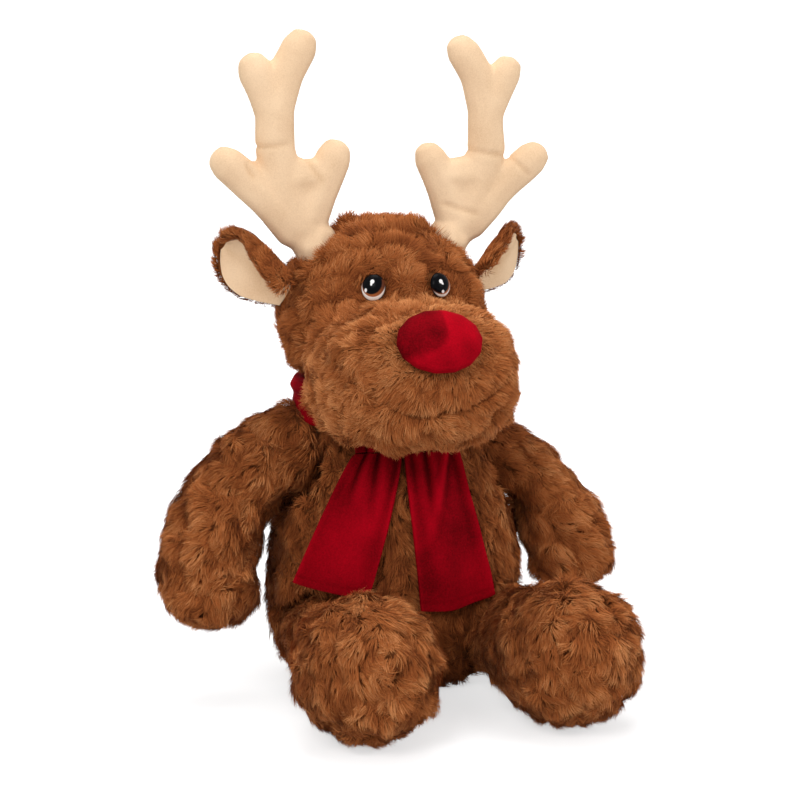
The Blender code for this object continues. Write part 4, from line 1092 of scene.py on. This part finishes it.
def add_scarf_band(red):
    """The scarf gathered round the neck, with soft slanting folds, and lifted over the arms."""
    _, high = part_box("scarf_band")
    outer = high[1] + BAND_EASE
    inner = outer - BAND_THICKNESS
    top = high[2]
    grid = np.empty((BAND_TURNS, BAND_PROFILE, 3))
    for i in range(BAND_TURNS):
        turn = 2 * math.pi * i / BAND_TURNS
        lift = BAND_LIFT * abs(math.cos(turn)) ** 4
        slide = 0.9 * math.sin(2 * turn + 0.6) + 0.5 * math.sin(5 * turn) + 0.25 * math.sin(11 * turn)
        for k in range(BAND_PROFILE):
            angle = 2 * math.pi * k / BAND_PROFILE
            share = 0.5 + 0.5 * math.copysign(abs(math.sin(angle)) ** 0.8, math.sin(angle))
            face = math.copysign(abs(math.cos(angle)) ** 0.4, math.cos(angle))
            fold = math.sin(2 * math.pi * BAND_FOLDS * share + slide)
            fold += 0.5 * math.sin(2 * math.pi * 2.3 * BAND_FOLDS * share - 1.7 * slide)
            radius = (inner + outer) / 2 + (outer - inner) / 2 * face
            if face > 0:
                radius += BAND_FOLD_DEPTH * (fold * 0.5 - 0.4) * face
            z = BAND_BASE + lift + (top - BAND_BASE - lift) * share
            grid[i, k] = (BAND_SHIFT + radius * math.cos(turn), radius * math.sin(turn), z)
    mesh = grid_mesh("scarf_band_cloth", grid, wrap=True)
    nap_and_painted_light = 0.45 + 0.20 * waves(points_of(mesh), 14 * MM, 61)
    nodes = ("scarf_band",)
    piece = finish_piece("scarf_band_cloth", mesh, red, "torso", nodes, nap_and_painted_light=nap_and_painted_light)


TAIL_ROWS = 84
TAIL_COLUMNS = 49
TAIL_STANDOFF = 3.6 * MM
TAIL_CLOTH = 1.8 * MM
TAIL_NAP = 0.46

# Pleats of a tail: place across at the top and at the hem, how far down it runs, and its depth in mm
PLEATS = {
    "right": (
        (-0.45, -0.20, 0.42, 2.6), (0.12, 0.70, 0.50, 2.6), (0.90, 0.84, 0.75, 2.0), (0.74, 0.78, 2.0, 0.5),
    ),
    "left": (
        (-0.25, -0.55, 0.50, 2.4), (0.50, -1.50, 0.64, -2.2), (-0.76, -0.72, 0.9, 1.4), (0.72, 0.66, 1.2, 1.0),
    ),
}
PLEAT_RIDGE = 0.55
# Painted light and shade of the scarf's nap: shade in the pleats' valleys and light on their ridges, shade at
# the hem's groove and under the chin, a sheen along the edges, and shade in the pleats of the ends
PLEAT_SHADE = 0.24
HEM_SHADE = 0.05
CHIN_SHADE = 0.18
RIM_LIGHT = 0.12
END_SHADE = 0.17
HEM = 4.0 * MM
HEM_DEPTH = 0.25 * MM
HEM_BOW = 2.5 * MM


def chest_front():
    """A ray caster for the front of the chest."""
    tree = search_tree(merged(("torso_cover",)))

    def front(x, z):
        hit = tree.ray_cast(Vector((x, -0.4, z)), Vector((0, 1, 0)))[0]
        return hit.y if hit else 0.0

    return front


def tail_fold(side, u, v):
    """How deep, in millimetres, the pleats draw the cloth in at this place of the tail."""
    depth = 0.0
    for top, bottom, run, deep in PLEATS[side]:
        line = top + (bottom - top) * v
        wide = 0.10 + 0.13 * max(v, 0.0)
        fade = max(1 - v / run, 0.0) ** 0.8
        depth += deep * fade * math.exp(-((u - line) / wide) ** 2)
        depth -= PLEAT_RIDGE * deep * fade * math.exp(-((u - line - 1.7 * wide) / wide) ** 2)
    return depth


def tail_spot(side, root, front, u, v):
    """A point of the tail: u runs from -1 to 1 across, and v from 0 at its root to 1 at its hem."""
    slant, length, way = TAIL_SLANTS[side], TAIL_ENDS[side], SIDES[side]
    down = np.array((way * math.sin(slant), 0.0, -math.cos(slant)))
    tilt = slant * TAIL_TILT_SHARE * v
    across = np.array((math.cos(tilt), 0.0, way * math.sin(tilt)))
    top_half = TAIL_TOP_HALVES[side]
    half = top_half + (TAIL_BOTTOM_HALVES[side] - top_half) * v ** TAIL_SPREADS[side]
    reach = length * v + HEM_BOW * v ** 3 * (1 - u * u)
    spot = np.array(root) + down * reach + across * half * u
    y = min(root.y, front(spot[0], spot[2]) - TAIL_STANDOFF)
    y += tail_fold(side, u, v) * MM
    y -= 1.5 * MM * math.cos(2.6 * u + 1.4 * way + 0.8 * v) * (0.2 + 0.8 * v)
    y -= 0.9 * MM * v ** 2 * math.cos(5.2 * u + way)
    return spot[0], y, spot[2]


def thick_cloth(name, grid, thickness):
    """A cloth with rounded edges over a grid of points."""
    piece = link(name + "_flat", grid_mesh(name, grid))
    solid = piece.modifiers.new("cloth", "SOLIDIFY")
    solid.thickness = thickness
    solid.offset = 0.0
    soften = piece.modifiers.new("edges", "BEVEL")
    soften.width = thickness * 0.3
    soften.segments = 2
    soften.limit_method = "ANGLE"
    mesh = evaluated(piece)
    mesh.shade_smooth()
    bpy.data.objects.remove(piece, do_unlink=True)
    return mesh


def taken_from_grid(places, grid, values):
    """For each place the value of the nearest point of the grid."""
    spots = grid.reshape(-1, 3)
    tree = KDTree(len(spots))
    for index, spot in enumerate(spots):
        tree.insert(spot, index)
    tree.balance()
    flat = values.ravel()
    return np.array([flat[tree.find(place)[1]] for place in places])


def add_scarf_tail(red, front, side):
    """One tail of the scarf: pleated where it comes from under the chin, hemmed at the bottom."""
    node = f"scarf_tail_{side}"
    root = tail_root(side)
    length = TAIL_ENDS[side]
    grid = np.empty((TAIL_ROWS, TAIL_COLUMNS, 3))
    shade = np.empty((TAIL_ROWS, TAIL_COLUMNS))
    for i in range(TAIL_ROWS):
        v = i / (TAIL_ROWS - 1)
        hem = math.exp(-(((1 - v) * length - HEM) / (1.1 * MM)) ** 2)
        for k in range(TAIL_COLUMNS):
            u = 2 * k / (TAIL_COLUMNS - 1) - 1
            grid[i, k] = tail_spot(side, root, front, u, v)
            # Painted sheen along the edges, painted shade in the pleats' valleys with painted light on their
            # ridges, and painted shade at the hem's groove and under the chin
            rim = step(abs(u), 0.86, 1.0) * RIM_LIGHT
            drawn = TAIL_NAP - PLEAT_SHADE * tail_fold(side, u, v)
            shade[i, k] = drawn - HEM_SHADE * hem + rim - CHIN_SHADE * (1 - v) ** 2
    for _ in range(2):
        for axis in (0, 1):
            rows = np.moveaxis(grid, axis, 0)
            rows[1:-1, :, 1] = (rows[:-2, :, 1] + 2 * rows[1:-1, :, 1] + rows[2:, :, 1]) / 4
    hem_row = round((1 - HEM / length) * (TAIL_ROWS - 1))
    grid[hem_row, :, 1] += HEM_DEPTH
    mesh = thick_cloth(node + "_cloth", grid, TAIL_CLOTH)
    places = points_of(mesh)
    nap_and_painted_light = taken_from_grid(places, grid, shade) + 0.14 * waves(places, 24 * MM, 64)
    made = finish_piece(node + "_cloth", mesh, red, node, (node,), nap_and_painted_light=nap_and_painted_light)


def add_scarf_end(red, front, side):
    """The scarf's end above the tail's hinge, which curves back under the chin to the band."""
    root = tail_root(side)
    grid = np.empty((END_ROWS, TAIL_COLUMNS, 3))
    across = np.linspace(-1, 1, TAIL_COLUMNS)
    for i in range(END_ROWS):
        share = i / (END_ROWS - 1)
        for k in range(TAIL_COLUMNS):
            x, y, z = tail_spot(side, root, front, 2 * k / (TAIL_COLUMNS - 1) - 1, 0.0)
            lifted = z + END_LAP + (END_RISE - END_LAP) * (1 - share)
            curved = -math.sqrt(max(END_RADIUS ** 2 - x ** 2, 0))
            grid[i, k] = (x, curved + (y - curved) * share ** 1.5, lifted)
    name = f"scarf_end_{side}_cloth"
    mesh = thick_cloth(name, grid, TAIL_CLOTH)
    # Painted shade under the chin and in the pleats' valleys, with painted light on their ridges
    shade = TAIL_NAP - CHIN_SHADE - END_SHADE * np.array([tail_fold(side, u, 0.0) for u in across])
    nap_and_painted_light = taken_from_grid(points_of(mesh), grid, np.tile(shade, (END_ROWS, 1)))
    made = finish_piece(name, mesh, red, "torso", nap_and_painted_light=nap_and_painted_light)


# Studio

FLOOR_SIZE = 40.0
FLOOR_GREY = (0.60, 0.60, 0.60, 1.0)
FLOOR_GLOW_START = 0.62
FLOOR_GLOW_END = 0.95

# Name, place, width and power of each lamp
LAMPS = (
    ("key_lamp", (-1.3, -1.7, 1.6), 1.1, 25.5),
    ("fill_lamp", (1.7, -1.5, 0.9), 1.2, 11.5),
    ("top_lamp", (0.0, 0.3, 2.0), 1.4, 16.0),
)
WORLD_LIGHT = 0.60


def seen_straight(maker):
    """1 where the camera, a gloss or a clear surface looks, and 0 for soft light."""
    path = maker.add("ShaderNodeLightPath")
    straight = maker.number("MAXIMUM", path.outputs["Is Camera Ray"], path.outputs["Is Glossy Ray"])
    return maker.number("MAXIMUM", straight, path.outputs["Is Transmission Ray"])


def floor_material():
    """White paper that keeps the deer's shadow and glows white to the camera further out."""
    material, maker, shader = new_material("floor_paper", 0.9)
    reach = maker.vector("LENGTH", maker.add("ShaderNodeTexCoord").outputs["Object"])
    glow = maker.spread(reach, 0.15, 0.9, FLOOR_GLOW_START, FLOOR_GLOW_END)
    maker.fill(shader, {
        "Base Color": FLOOR_GREY, "Specular IOR Level": 0.0, "Emission Color": (1.0, 1.0, 1.0, 1.0),
        "Emission Strength": maker.product(glow, seen_straight(maker)),
    })
    return material


def add_studio():
    mesh = bpy.data.meshes.new("floor")
    half = FLOOR_SIZE / 2
    corners = [(-half, -half, 0), (half, -half, 0), (half, half, 0), (-half, half, 0)]
    mesh.from_pydata(corners, [], [(0, 1, 2, 3)])
    floor = link("floor", mesh)
    mesh.materials.append(floor_material())
    world = bpy.data.worlds.new("studio")
    bpy.context.scene.world = world
    world.use_nodes = True
    maker = NodeMaker(world.node_tree)
    strength = maker.spread(seen_straight(maker), 0.0, 1.0, WORLD_LIGHT, 1.0)
    maker.fill(world.node_tree.nodes["Background"], {"Strength": strength, "Color": (1.0, 1.0, 1.0, 1.0)})
    for name, place, size, power in LAMPS:
        light = bpy.data.lights.new(name, "AREA")
        light.shape = "DISK"
        light.size = size
        light.energy = power
        lamp = link(name, light)
        lamp.location = place
        lamp.rotation_mode = "QUATERNION"
        lamp.rotation_quaternion = (AIM - Vector(place)).to_track_quat("-Z", "Y")


def add_camera():
    camera = link("camera", bpy.data.cameras.new("camera"))
    flat = math.cos(CAMERA_RISE)
    back = Vector((math.sin(CAMERA_TURN) * flat, -math.cos(CAMERA_TURN) * flat, math.sin(CAMERA_RISE)))
    camera.location = AIM + back * CAMERA_DISTANCE
    camera.rotation_mode = "QUATERNION"
    camera.rotation_quaternion = (-back).to_track_quat("-Z", "Y")
    camera.data.sensor_width = SENSOR
    camera.data.lens = CAMERA_DISTANCE / (IMAGE_SIZE * PIXEL_SIZE) * SENSOR
    camera.data.shift_x = (IMAGE_SIZE / 2 - AIM_PIXEL[0]) / IMAGE_SIZE
    camera.data.shift_y = (AIM_PIXEL[1] - IMAGE_SIZE / 2) / IMAGE_SIZE
    bpy.context.scene.camera = camera


def main():
    scene = bpy.context.scene
    scene.view_settings.view_transform = "Standard"
    grain = fabric_grain_group()
    ground = nap_material("plush_ground", grain, GROUND_DARK, GROUND_LIGHT, 60.0, 700.0, 0.4 * MM)
    cream_nap = (CREAM_DARK, CREAM_LIGHT, 45.0, 1400.0, 0.15 * MM, 0.15, CREAM_SHEEN_TINT)
    cream = nap_material("cream_velour", grain, *cream_nap)
    red = nap_material("crimson_velour", grain, RED_DARK, RED_LIGHT, 38.0, 1000.0, 0.25 * MM)
    strand = link("strand", strand_mesh())
    tree = pile_tree(strand, pile_material())
    add_torso(tree, ground)
    add_head(tree, ground)
    front = chest_front()
    eye = eye_material()
    washer = moulded_material("washer_plastic_white", WASHER_WHITE)
    for side in SIDES:
        add_arm(tree, ground, side)
        add_leg(tree, ground, side)
        add_ear(tree, ground, cream, side)
        add_antler(cream, side)
        add_eye(eye, side)
        add_scarf_tail(red, front, side)
        add_scarf_end(red, front, side)
        frame["nodes"][f"eye_washer_{side}"].material_slots[0].material = washer
    add_nose(red)
    add_scarf_band(red)
    bpy.data.objects.remove(strand, do_unlink=True)
    add_studio()
    add_camera()


main()
